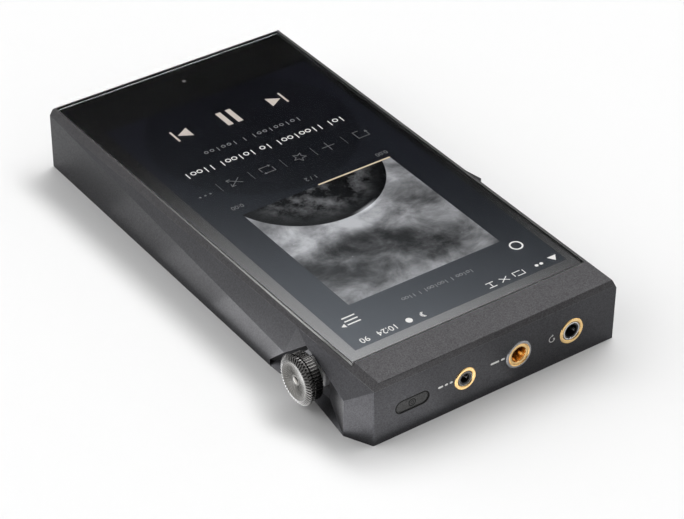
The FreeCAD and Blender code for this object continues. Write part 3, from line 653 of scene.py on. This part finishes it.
def block_words(x_from, x_to, y, height, words):
    """Small rings and upright bars, a few to each word, that stand in for a line of writing."""
    pitch = abs(x_to - x_from) / (sum(words) + WORD_GAP * (len(words) - 1))
    way = 1.0 if x_to > x_from else -1.0
    marks = []
    x = x_from
    for number, word in enumerate(words):
        for i in range(word):
            middle = x + way * pitch / 2
            if i == 0 or (i + number) % 3 == 2:
                marks += stroke([(middle, y - height / 2), (middle, y + height / 2)], height * 0.11)
            else:
                ring = circle(middle, y - height * 0.16, height * 0.29, 12)
                marks += stroke(ring, height * 0.11, closed=True)
            x += way * pitch
        x += way * pitch * WORD_GAP
    return marks


def list_mark(x, y):
    """Three lines with a small arrow head: the playlist icon."""
    marks = [rectangle(x - 2.2, y + dy - 0.2, x + 1.5, y + dy + 0.2) for dy in (-1.3, 0.0, 1.3)]
    marks.append([(x + 2.0, y + 1.9), (x + 2.0, y + 0.5), (x + 3.2, y + 1.2)])
    return marks


def status_marks():
    """Battery, radio and mode icons of the status row."""
    y = STATUS_Y
    marks = [capsule(13.4, 15.2, y, 1.9), [(-30.0, y - 1.0), (-27.4, y - 1.0), (-28.7, y + 0.9)]]
    zigzag = [(9.9, -0.9), (11.0, 0.2), (10.4, 0.9), (10.4, -0.9), (11.0, -0.2), (9.9, 0.9)]
    marks += stroke([(x, y + dy) for x, dy in zigzag], 0.16)
    marks += stroke([(-19.5, y - 0.7), (-19.5, y + 0.8), (-17.2, y + 0.8)], 0.2)
    marks += stroke([(-16.6, y + 0.7), (-16.6, y - 0.8), (-18.9, y - 0.8)], 0.2)
    for side in (-1, 1):
        marks += stroke([(-14.8, y + side * 0.8), (-12.6, y - side * 0.8)], 0.2)
        marks += stroke([(-10.9, y + side * 0.9), (-8.7, y + side * 0.9)], 0.22)
    marks += stroke([(-9.8, y - 0.7), (-9.8, y + 0.7)], 0.22)
    marks += [capsule(-24.0, -23.0, y, 0.9), capsule(-25.4, -24.4, y, 0.9)]
    return marks


def digits(name, text, x, y, height, material):
    """Plain numerals on the screen."""
    curve = bpy.data.curves.new(name + "_line", "FONT")
    curve.body = text
    curve.size = height * 1.38 * MM
    curve.align_x = "CENTER"
    curve.align_y = "CENTER"
    curve.extrude = 0.0075 * MM
    curve.resolution_u = 3
    writing = bpy.data.objects.new(name + "_line", curve)
    bpy.context.scene.collection.objects.link(writing)
    bpy.context.view_layer.update()
    graph = bpy.context.evaluated_depsgraph_get()
    mesh = bpy.data.meshes.new_from_object(writing.evaluated_get(graph))
    bpy.data.objects.remove(writing)
    middle = screen_point(x, y, (MARK_BOTTOM + MARK_TOP) / 2)
    mesh.transform(Matrix.Translation(middle * MM))
    mesh.materials.clear()
    return new_piece(name, mesh, material, MAIN_BODY)


def glass_outline(grow):
    """The four corners of the cover glass, grown outwards by grow."""
    jack_end = [v.co.x for v in NODES["front_glass"].data.vertices if v.co.y / MM > GLASS_HIGH.y - 1]
    jack_right = max(jack_end) / MM
    return [
        (GLASS_LOW.x - grow, GLASS_LOW.y - grow),
        (GLASS_HIGH.x + grow, GLASS_LOW.y - grow),
        (jack_right + grow, GLASS_HIGH.y + grow),
        (GLASS_LOW.x - grow, GLASS_HIGH.y + grow),
    ]


def ring_between(outer, inner):
    """Four mitred plates that fill the space between two four-cornered outlines."""
    return [[outer[i], outer[i - 3], inner[i - 3], inner[i]] for i in range(4)]


def row_point(x, y, z):
    return Vector((x, y, z))


def build_screen():
    """The border print, the lit picture and everything drawn on it, sealed under the glass."""
    low = screen_point(-PICTURE_HALF_WIDTH, -PICTURE_HALF_HEIGHT, 0)
    high = screen_point(PICTURE_HALF_WIDTH, PICTURE_HALF_HEIGHT, 0)
    near = glass_outline(-EDGE_PRINT_INSET)
    far_x = GLASS_LOW.x + FAR_EDGE_PRINT_INSET
    far_y = GLASS_LOW.y + FAR_EDGE_PRINT_INSET
    outer = [(far_x, far_y), (near[1][0], far_y), near[2], (far_x, near[3][1])]
    inner = rectangle(low.x, low.y, high.x, high.y)
    black = border_material()
    border = ring_between(outer, inner)
    mesh = flat_mesh("glass_border_print", border, PICTURE_BOTTOM, PICTURE_TOP, row_point)
    new_piece("glass_border_print", mesh, black, MAIN_BODY)
    walls = ring_between(glass_outline(-PRINT_INSET), glass_outline(-PRINT_INSET - WALL))
    mesh = flat_mesh("glass_side_print", walls, PICTURE_TOP, GLASS_HIGH.z - 0.24, row_point)
    matt = moulded_plastic("matt_black_print", grey(0.006), 0.7)
    new_piece("glass_side_print", mesh, matt, MAIN_BODY)
    edge = ring_between(glass_outline(-PRINT_INSET - WALL), outer)
    mesh = flat_mesh("glass_edge_print", edge, PICTURE_BOTTOM, PICTURE_TOP, row_point)
    new_piece("glass_edge_print", mesh, matt, MAIN_BODY)
    # A gasket fills the gap round the glass; its pale grey is a painted highlight that stands in for the
    # bright line of the glass edge.
    gasket = ring_between(glass_outline(GLASS_GAP - 0.01), glass_outline(0.01))
    mesh = flat_mesh("glass_gasket", gasket, GLASS_LOW.z + 0.1, GLASS_HIGH.z - 0.07, row_point)
    gasket_highlight_rubber = moulded_plastic("gasket_painted_highlight", grey(0.16), 0.35)
    new_piece("glass_gasket", mesh, gasket_highlight_rubber, MAIN_BODY)

    half_width, half_height = PICTURE_HALF_WIDTH, PICTURE_HALF_HEIGHT
    picture = [rectangle(-half_width, -half_height, half_width, half_height)]
    mesh = flat_mesh("screen_picture", picture, PICTURE_BOTTOM, PICTURE_TOP, screen_point)
    panel = new_piece("screen_picture", mesh, picture_material(), MAIN_BODY)
    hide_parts("optical_bond")

    art = [rectangle(-ART_HALF, ART_Y - ART_HALF, ART_HALF, ART_Y + ART_HALF)]
    mesh = flat_mesh("cover_art", art, PICTURE_TOP + 0.001, PICTURE_TOP + 0.004, screen_point)
    new_piece("cover_art", mesh, art_material(), MAIN_BODY)

    beige = lit("lit_beige_marks", (1.0, 0.88, 0.78, 1), 0.55)
    white = lit("lit_white_marks", (1.0, 0.98, 0.95, 1), 0.8)
    dim = lit("lit_dim_marks", (0.9, 0.92, 0.95, 1), 0.085)
    faint = lit("lit_faint_marks", (0.9, 0.92, 0.95, 1), 0.2)
    gold = lit("lit_progress_gold", (1.0, 0.80, 0.55, 1), 0.62)

    art_foot = ART_Y - ART_HALF
    groups = (
        ("transport_icons", transport_marks(), beige),
        ("function_icons", tool_marks(), dim),
        ("title_blocks", block_words(-23.6, 25.3, -26.1, 2.3, (3, 8, 2, 6, 5)), white),
        ("artist_blocks", block_words(-14.3, 15.6, -32.4, 1.7, (9, 1, 6)), faint),
        ("format_blocks", block_words(-10.0, 11.0, 46.0, 1.4, (5, 1, 7, 1, 4)), faint),
        ("playlist_icon", list_mark(25.5, 45.3), white),
        ("status_icons", status_marks(), white),
        ("corner_icon", stroke(circle(-24.6, 44.0, 1.55, 28), 0.42, closed=True), white),
        ("progress_bar", [rectangle(-ART_HALF, art_foot - 0.45, -0.3, art_foot + 0.05)], gold),
    )
    for name, outlines, material in groups:
        mesh = flat_mesh(name, outlines, MARK_BOTTOM, MARK_TOP, screen_point)
        new_piece(name, mesh, material, MAIN_BODY)
    sensor = [circle(SENSOR_X, SENSOR_Y, SENSOR_RADIUS, 20)]
    mesh = flat_mesh("sensor_window", sensor, MARK_BOTTOM, MARK_TOP, row_point)
    window = moulded_plastic("grey_sensor_window", grey(0.16), 0.4)
    new_piece("sensor_window", mesh, window, MAIN_BODY)
    digits("clock_digits", "10:24", 20.5, STATUS_Y, 1.9, white)
    digits("charge_digits", "90", 27.0, STATUS_Y, 1.9, white)
    digits("left_time_digits", "0:00", -21.6, -7.1, 1.5, dim)
    digits("right_time_digits", "0:00", 21.6, -7.9, 1.5, dim)
    digits("track_digits", "1 / 2", -0.6, -8.1, 1.5, dim)


# The volume wheel

WHEEL_Y = (RIM_LOW.y + RIM_HIGH.y) / 2
WHEEL_Z = (RIM_LOW.z + RIM_HIGH.z) / 2
TOOTH_COUNT = 48
GAP_START = 0.56
GAP_SLOPE = 0.05
FRONT_CUT = 0.34
EDGE_CUT = 0.42
RIDGE_CUT = 0.22


def tooth_gap(angle, offset):
    """1 in the gap between two teeth, 0 on a tooth. offset is the row's shift in pitches."""
    phase = (angle / (2 * math.pi) * TOOTH_COUNT + offset) % 1.0
    return 1.0 if GAP_START - 0.01 < phase < 1.01 - GAP_SLOPE else 0.0


def tooth_columns():
    """The angles at which a tooth of either row starts, tops or ends."""
    starts = (0.0, GAP_START, 0.5, GAP_START - 0.5)
    marks = sorted([m for s in starts for m in (s, (s - GAP_SLOPE) % 1.0)])
    return [2 * math.pi * (i + m) / TOOTH_COUNT for i in range(TOOTH_COUNT) for m in marks]


def lathe_mesh(name, profile, columns, cut):
    """A closed solid turned about the wheel's axis. profile is a closed loop of (x, radius);
    cut(i, angle) gives the change (dx, dradius) of profile point i at a column's angle."""
    bm = bmesh.new()
    rings = []
    for angle in columns:
        ring = []
        for i, (x, radius) in enumerate(profile):
            dx, dr = cut(i, angle)
            reach = radius + dr
            place = (x + dx, WHEEL_Y + reach * math.cos(angle), WHEEL_Z + reach * math.sin(angle))
            ring.append(bm.verts.new(place))
        rings.append(ring)
    join_rings(bm, rings)
    return finish_mesh(bm, name, 25)


def build_wheel():
    """The toothed rim and drum, and the dished cap in its middle."""
    front = RIM_HIGH.x
    back = RIM_LOW.x
    rim_radius = (RIM_HIGH.y - RIM_LOW.y) / 2
    cap_radius = (CAP_HIGH.y - CAP_LOW.y) / 2
    drum_radius = rim_radius - 0.45
    profile = [
        (front - 0.45, cap_radius + 0.03),
        (front - 0.02, cap_radius + 0.03),
        (front, cap_radius + 0.14),
        (front - 0.10, cap_radius + 0.40),
        (front - 0.36, rim_radius - 0.32),
        (front - 0.42, rim_radius - 0.24),
        (front - 0.62, rim_radius - 0.02),
        (front - 0.72, rim_radius),
        (front - 1.18, rim_radius),
        (front - 1.30, rim_radius - 0.10),
        (front - 1.42, drum_radius - 0.35),
        (front - 1.78, drum_radius - 0.35),
        (front - 1.90, drum_radius - 0.08),
        (front - 2.02, drum_radius),
        (back + 0.14, drum_radius),
        (back, drum_radius - 0.12),
        (back, 2.2),
        (front - 0.45, 2.2),
    ]
    # How a gap moves profile points along X and inwards, and the row's shift in pitches: first the
    # front row, then the edge row, then the ridges of the drum.
    cuts = {
        3: (-0.12, 0.0, 0.0),
        4: (-FRONT_CUT, -0.06, 0.0),
        6: (-0.10, -0.10, 0.5),
        7: (0.0, -EDGE_CUT, 0.5),
        8: (0.0, -EDGE_CUT, 0.5),
        9: (0.0, -EDGE_CUT * 0.6, 0.5),
        12: (0.0, -0.05, 0.0),
        13: (0.0, -RIDGE_CUT, 0.0),
        14: (0.0, -RIDGE_CUT, 0.0),
    }

    def cut(i, angle):
        dx, dr, offset = cuts.get(i, (0.0, 0.0, 0.0))
        gap = tooth_gap(angle, offset)
        return gap * dx, gap * dr

    mesh = lathe_mesh("volume_wheel_rim", profile, tooth_columns(), cut)
    rim = new_piece("volume_wheel_rim", mesh, wheel_material(), WHEEL_BODY)
    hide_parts("wheel_rim")

    dish = [(CAP_LOW.x, 1.5), (CAP_LOW.x, cap_radius - 0.02), (front - 0.10, cap_radius - 0.02)]
    dish.append((front - 0.03, cap_radius - 0.08))
    boss_radius = 0.95
    floor_depth = 0.42
    steps = 12
    for i in range(steps + 1):
        share = i / steps
        radius = cap_radius - 0.2 + (boss_radius - cap_radius + 0.2) * share
        dish.append((front - 0.03 - floor_depth * math.sin(share * math.pi / 2), radius))
    bump_steps = 8
    for i in range(1, bump_steps + 1):
        share = i / bump_steps
        rise = 0.26 * math.sin(share * math.pi / 2)
        radius = max(boss_radius * math.cos(share * math.pi / 2), 0.02)
        dish.append((front - 0.03 - floor_depth + rise, radius))
    dish.append((CAP_LOW.x, 0.02))
    ray_count = 40
    per_ray = 4
    ray_depth = 0.07
    columns = [2 * math.pi * i / (ray_count * per_ray) for i in range(ray_count * per_ray)]
    first_ray_point = 4
    last_ray_point = first_ray_point + steps - 1

    def ray_cut(i, angle):
        """Lowers the dished face between the rays that run out from the boss."""
        in_groove = round(angle / (2 * math.pi) * ray_count * per_ray) % per_ray >= per_ray // 2
        if in_groove and first_ray_point < i < last_ray_point:
            return -ray_depth, 0.0
        return 0.0, 0.0

    mesh = lathe_mesh("volume_wheel_cap", dish, columns, ray_cut)
    cap = new_piece("volume_wheel_cap", mesh, cap_material(), WHEEL_BODY)
    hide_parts("wheel_cap")


def from_wheel_axis(g):
    """A point's offsets from the wheel's axis along Y and Z, and its distance from it."""
    _, y, z = g.axes()[:3]
    dy = g.maths("SUBTRACT", y, WHEEL_Y * MM)
    dz = g.maths("SUBTRACT", z, WHEEL_Z * MM)
    radius = g.maths("SQRT", g.maths("ADD", g.maths("MULTIPLY", dy, dy), g.maths("MULTIPLY", dz, dz)))
    return dy, dz, radius


def radial_streaks(g, fineness):
    """Streaks that run out from the wheel's middle, and each point's distance from the axis."""
    dy, dz, radius = from_wheel_axis(g)
    way = g.node("CombineXYZ")
    safe = g.maths("MAXIMUM", radius, 0.0001)
    g.link(g.maths("DIVIDE", dy, safe), way.inputs[0])
    g.link(g.maths("DIVIDE", dz, safe), way.inputs[1])
    return g.noise(fineness, detail=3, rough=0.65, vector=way.outputs[0]), radius


def cap_material():
    """Polished metal, brushed outwards from the middle, with a painted highlight that makes the boss up
    to three times brighter.
    """
    g = Graph("radially_brushed_cap")
    streak, radius = radial_streaks(g, 26)
    broad, _ = radial_streaks(g, 3.0)
    boss = g.ramp(radius, 0.0009, 0.0011)
    # Painted highlight: the base colour of the boss in the middle is raised up to threefold.
    boss_painted_highlight = g.ramp(radius, 0.0007, 0.0010, 3.0, 1.0)
    shade = g.ramp(broad, 0.3, 0.7, 0.9, 1.1)
    tone = g.maths("MULTIPLY", g.ramp(streak, 0.3, 0.7, 0.85, 1.12), shade)
    tangent = g.node("Tangent", direction_type="RADIAL", axis="X")
    shader = g.principled(
        Base_Color=g.scaled((0.038, 0.0365, 0.034), g.maths("MULTIPLY", tone, boss_painted_highlight)),
        Metallic=1.0,
        Roughness=g.ramp(g.maths("MULTIPLY", streak, boss), 0.0, 0.7, 0.14, 0.30),
        Anisotropic=0.7,
        Normal=g.bump(g.maths("MULTIPLY", streak, boss), 0.25, 0.00003),
    )
    g.link(tangent.outputs[0], shader.inputs["Tangent"])
    return g.material


def wheel_material():
    """Plated steel, with painted shade that darkens the gaps between the teeth against their tops."""
    g = Graph("machined_wheel")
    streak, _ = radial_streaks(g, 60)
    speck = g.noise(1800, detail=3, rough=0.6)
    dy, dz, _ = from_wheel_axis(g)
    x, _, _ = g.axes()[:3]
    half_pitch = g.ramp(x, (RIM_HIGH.x - 0.55) * MM, (RIM_HIGH.x - 0.53) * MM, 0.5, 0.0)
    turns = g.maths("MULTIPLY", g.maths("ARCTAN2", dz, dy), TOOTH_COUNT / (2 * math.pi))
    phase = g.maths("FRACT", g.maths("ADD", turns, half_pitch))
    # Painted shade: the gaps between the teeth get 0.16 of the tops' colour.
    outside_painted_gap_shade = g.maths("LESS_THAN", phase, GAP_START)
    plating = g.ramp(speck, 0.3, 0.7, 0.88, 1.1)
    tone = g.maths("MULTIPLY", g.ramp(outside_painted_gap_shade, 0.0, 1.0, 0.16, 1.0), plating)
    g.principled(
        Base_Color=g.scaled((0.090, 0.088, 0.086), tone),
        Metallic=1.0,
        Roughness=g.ramp(streak, 0.3, 0.7, 0.18, 0.32),
        Normal=g.bump(streak, 0.1, 0.00002, g.round_edges(0.00006)),
    )
    return g.material


# Sockets, power key and labels of the socket end

def tube_along_y(name, x, z, outer, inner, y_low, y_high):
    """A closed tube along Y with rounded front lips."""
    lip = 0.08
    count = 64
    profile = [
        (y_low, inner), (y_low, outer), (y_high - lip, outer), (y_high - lip * 0.3, outer - lip * 0.3),
        (y_high, outer - lip), (y_high, inner + lip), (y_high - lip * 0.3, inner + lip * 0.3),
        (y_high - lip, inner),
    ]
    bm = bmesh.new()
    rings = []
    for i in range(count):
        angle = 2 * math.pi * i / count
        ring = [bm.verts.new((x + r * math.cos(angle), y, z + r * math.sin(angle))) for y, r in profile]
        rings.append(ring)
    join_rings(bm, rings)
    return finish_mesh(bm, name, 40)


def spring_contacts(name, x, z, radius, y_front, count, start):
    """Bowed contact blades inside a socket, spaced round its bore."""
    bm = bmesh.new()
    width = 0.7
    thick = 0.09
    for k in range(count):
        angle = start + 2 * math.pi * k / count
        out = Vector((math.cos(angle), 0, math.sin(angle)))
        along = Vector((-math.sin(angle), 0, math.cos(angle)))
        rows = []
        steps = 8
        for i in range(steps + 1):
            share = i / steps
            y = y_front - 0.7 - 3.2 * share
            bow = 0.42 * math.sin(share * math.pi)
            middle = Vector((x, y, z)) + out * (radius - 0.10 - bow)
            half = along * width / 2
            lift = out * thick
            corners = (middle - half, middle + half, middle + half + lift, middle - half + lift)
            rows.append([bm.verts.new(corner) for corner in corners])
        for row, after in zip(rows, rows[1:]):
            for i in range(4):
                j = (i + 1) % 4
                bm.faces.new((row[i], row[j], after[j], after[i]))
        bm.faces.new(rows[0])
        bm.faces.new(rows[-1])
    return finish_mesh(bm, name, 40)


def socket_place(name):
    """A socket's middle along X and Z, and the Y of its body's nose."""
    low, high = node_box(name + "_ring")
    _, nose = node_box(name + "_body")
    middle = (low + high) / 2
    return middle.x, middle.z, nose.y


def build_sockets():
    """Inner sleeves, liners and contacts of the three sockets."""
    steel = turned_metal("bright_sleeve_steel", grey(0.62), 0.18, lines=3000)
    dark_steel = turned_metal("dark_sleeve_steel", grey(0.16), 0.25, lines=3000)
    gold = plated_gold("contact_gold")
    sleeves = (("jack_3_5", 1.75, 2.45, steel), ("jack_2_5", 1.25, 2.0, dark_steel))
    for name, bore, sleeve, material in sleeves:
        x, z, nose = socket_place(name)
        mesh = tube_along_y(name + "_sleeve", x, z, sleeve, sleeve - 0.38, nose - 0.3, nose + 0.14)
        new_piece(name + "_sleeve", mesh, material, MAIN_BODY)
        mesh = spring_contacts(name + "_contacts", x, z, bore, nose, 3, -math.pi / 5)
        new_piece(name + "_contacts", mesh, steel, MAIN_BODY)
    x, z, nose = socket_place("jack_4_4")
    mesh = tube_along_y("jack_4_4_liner", x, z, 2.88, 2.12, nose - 0.05, nose + 0.10)
    new_piece("jack_4_4_liner", mesh, gold, MAIN_BODY)
    mesh = tube_along_y("jack_4_4_throat", x, z, 2.19, 2.08, nose - 7.0, nose - 0.06)
    new_piece("jack_4_4_throat", mesh, gold, MAIN_BODY)
    mesh = spring_contacts("jack_4_4_contacts", x, z, 2.1, nose, 5, -math.pi / 2 + 0.3)
    new_piece("jack_4_4_contacts", mesh, gold, MAIN_BODY)


def printed_paint(name, value):
    """Matt marking paint with slightly broken coverage."""
    g = Graph(name)
    wear = g.noise(5000, detail=2)
    g.principled(
        Base_Color=g.scaled((value, value, value * 0.97), g.ramp(wear, 0.3, 0.7, 0.75, 1.1)),
        Roughness=0.6,
        Specular_IOR_Level=0.1,
    )
    return g.material


def build_end_marks():
    """Generic marks beside the sockets, a black ring of painted shade in the gap round the power key, and
    the ring symbol on the key.
    """
    pale = printed_paint("pale_print", 0.62)
    dark = printed_paint("engraved_black_and_gap_shade", 0.008)
    face = HOUSING_HIGH.y
    sink = 0.004
    proud = 0.012
    x, z = -19.35, 8.04
    arc = circle(x, z, 0.85, 16, math.radians(200), math.radians(270))
    headphones = stroke(arc, 0.2)
    for end in (arc[0], arc[-1]):
        headphones += stroke([(end[0], end[1]), (end[0] + 0.38, end[1] + 0.30)], 0.42)
    mesh = flat_mesh("headphone_mark", headphones, face - sink, face + proud, end_point)
    new_piece("headphone_mark", mesh, pale, MAIN_BODY)
    labels = (("balanced_mark_a", -3.1, (1.0, 2.2)), ("balanced_mark_b", 12.1, (1.0, 1.0, 1.6)))
    for name, centre, shapes in labels:
        bars = word_bars(centre - 2.1, centre + 2.1, 8.6, 0.55, shapes, 0.5)
        mesh = flat_mesh(name, bars, face - sink, face + proud, end_point)
        new_piece(name, mesh, pale, MAIN_BODY)
    middle = (POWER_LOW + POWER_HIGH) / 2
    corners = [v.co / MM for v in NODES["power_button"].data.vertices]
    crown = [p for p in corners if p.y > POWER_HIGH.y - 0.05]
    seat_width = 0.36
    reach_x = max(p.x for p in crown) - middle.x + seat_width / 2 + 0.02
    reach_z = max(p.z for p in crown) - middle.z + seat_width / 2 + 0.02
    # Painted shade: a black ring laid over the gap round the power key, where shade falls.
    edge = capsule(middle.x - reach_x, middle.x + reach_x, middle.z, 2 * reach_z, 12)
    gap_shade_ring = stroke(edge, seat_width, closed=True)
    mesh = flat_mesh("power_key_gap_shade", gap_shade_ring, face - sink, face + proud, end_point)
    new_piece("power_key_gap_shade", mesh, dark, MAIN_BODY)
    symbol = stroke(circle(middle.x, middle.z, 0.92, 32), 0.26, closed=True)
    symbol += stroke(circle(middle.x, middle.z, 0.36, 20), 0.18, closed=True)
    mesh = flat_mesh("power_mark", symbol, POWER_HIGH.y - sink, POWER_HIGH.y + proud, end_point)
    new_piece("power_mark", mesh, dark, POWER_BODY)


# Studio

CAMERA_PLACE = Vector((0.28658, 0.41355, 0.36057))
CAMERA_AZIMUTH = 144.453
CAMERA_ELEVATION = 35.833
CAMERA_ROLL = 0.454
CAMERA_LENS = 129.22
SENSOR_WIDTH = 36.0


def build_camera():
    """The viewing angle: from the socket end, over the wheel side."""
    azimuth = math.radians(CAMERA_AZIMUTH)
    elevation = math.radians(CAMERA_ELEVATION)
    back = Vector((
        math.sin(azimuth) * math.cos(elevation),
        -math.cos(azimuth) * math.cos(elevation),
        math.sin(elevation),
    ))
    data = bpy.data.cameras.new("photo_view")
    data.lens = CAMERA_LENS
    data.sensor_width = SENSOR_WIDTH
    data.clip_start = 0.05
    data.clip_end = 20
    camera = bpy.data.objects.new("photo_view", data)
    camera.location = CAMERA_PLACE
    camera.rotation_mode = "QUATERNION"
    level = (-back).to_track_quat("-Z", "Y")
    camera.rotation_quaternion = Quaternion(back, math.radians(CAMERA_ROLL)) @ level
    bpy.context.scene.collection.objects.link(camera)
    bpy.context.scene.camera = camera


SKY_UP = (0.0515, -0.0371, 1.0)
CARD_HEIGHT = 0.0003
FLOOR_Z = -0.00002


def glow_card(name, x, y, size_x, size_y, radiance):
    """A small lit card that lies face up on the floor, to brighten the flank above it."""
    data = bpy.data.lights.new(name, "AREA")
    data.shape = "RECTANGLE"
    data.size = size_x * MM
    data.size_y = size_y * MM
    data.energy = radiance * math.pi * data.size * data.size_y
    light = bpy.data.objects.new(name, data)
    light.location = (x * MM, y * MM, CARD_HEIGHT)
    light.rotation_euler = (math.pi, 0, 0)
    light.visible_camera = False
    bpy.context.scene.collection.objects.link(light)


# Soft boxes of the studio sky: azimuth from +Y towards +X in degrees, the sine of elevation over
# which the box brightens, the sine over which it fades again, and its brightness.
SKY_BOXES = (
    (-148, (0.555, 0.64), (0.66, 0.76), 0.68),
    (-140, (0.66, 0.76), (0.84, 0.93), 8.0),
    (-95, (0.66, 0.76), (0.84, 0.93), 20.0),
    (175, (0.84, 0.93), (1.1, 1.2), 1.3),
    (125, (0.30, 0.60), (0.85, 0.97), 3.0),
    (125, (-1.2, -1.1), (0.30, 0.60), 1.5),
    (-40, (0.30, 0.60), (0.85, 0.97), 0.5),
    (-40, (-1.2, -1.1), (0.30, 0.60), 0.9),
)


def build_world():
    """A dark studio with soft boxes, mostly high up behind the object."""
    g = Graph("studio", world=True)
    way = g.node("TexCoord").outputs["Generated"]
    lift = g.vector_maths("DOT_PRODUCT", way, SKY_UP)
    total = 0.0
    for azimuth, rise, fall, strength in SKY_BOXES:
        turn = math.radians(azimuth)
        ahead = g.vector_maths("DOT_PRODUCT", way, (math.sin(turn), math.cos(turn), 0.0))
        side = g.ramp(ahead, 0.25, 0.85, 0.0, strength, smooth=True)
        lower = g.ramp(lift, *rise, smooth=True)
        upper = g.ramp(lift, *fall, 1.0, 0.0, smooth=True)
        box = g.maths("MULTIPLY", side, g.maths("MULTIPLY", lower, upper))
        total = g.maths("ADD", total, box)
    shade = g.node("Background")
    shade.inputs["Color"].default_value = (1.0, 1.0, 1.0, 1.0)
    g.link(total, shade.inputs["Strength"])
    g.link(shade.outputs[0], g.output.inputs["Surface"])
    bpy.context.scene.world = g.material


def build_floor():
    """A plain pale floor."""
    size = 3.0
    bm = bmesh.new()
    bm.faces.new([bm.verts.new((x, y, FLOOR_Z)) for x, y in rectangle(-size, -size, size, size)])
    mesh = bpy.data.meshes.new("studio_floor")
    bm.to_mesh(mesh)
    bm.free()
    g = Graph("pale_floor")
    g.principled(Base_Color=(0.70, 0.70, 0.70, 1), Roughness=0.9, Specular_IOR_Level=0.1)
    mesh.materials.append(g.material)
    floor = bpy.data.objects.new("studio_floor", mesh)
    bpy.context.scene.collection.objects.link(floor)


def build_lights():
    """Lit cards on the floor along the wheel side and before the socket end."""
    wheel_side = ((-33, 0.4), (-8, 0.9), (17, 2.0), (42, 3.4), (67, 2.5))
    for i, (y, radiance) in enumerate(wheel_side):
        glow_card("wheel_side_card_%d" % i, 45.5, y, 17, 25, radiance)
    socket_end = ((0, 0.6), (20, 1.1), (40, 1.3))
    for i, (x, radiance) in enumerate(socket_end):
        glow_card("socket_end_card_%d" % i, x, 80, 20, 15, radiance)


def set_view():
    """Plain display colours, so that greys come out as they are lit."""
    view = bpy.context.scene.view_settings
    view.view_transform = "Standard"
    view.look = "None"
    view.exposure = 0.0


finish_cad_nodes()
build_screen()
build_wheel()
build_sockets()
build_end_marks()
build_floor()
build_world()
build_lights()
build_camera()
set_view()
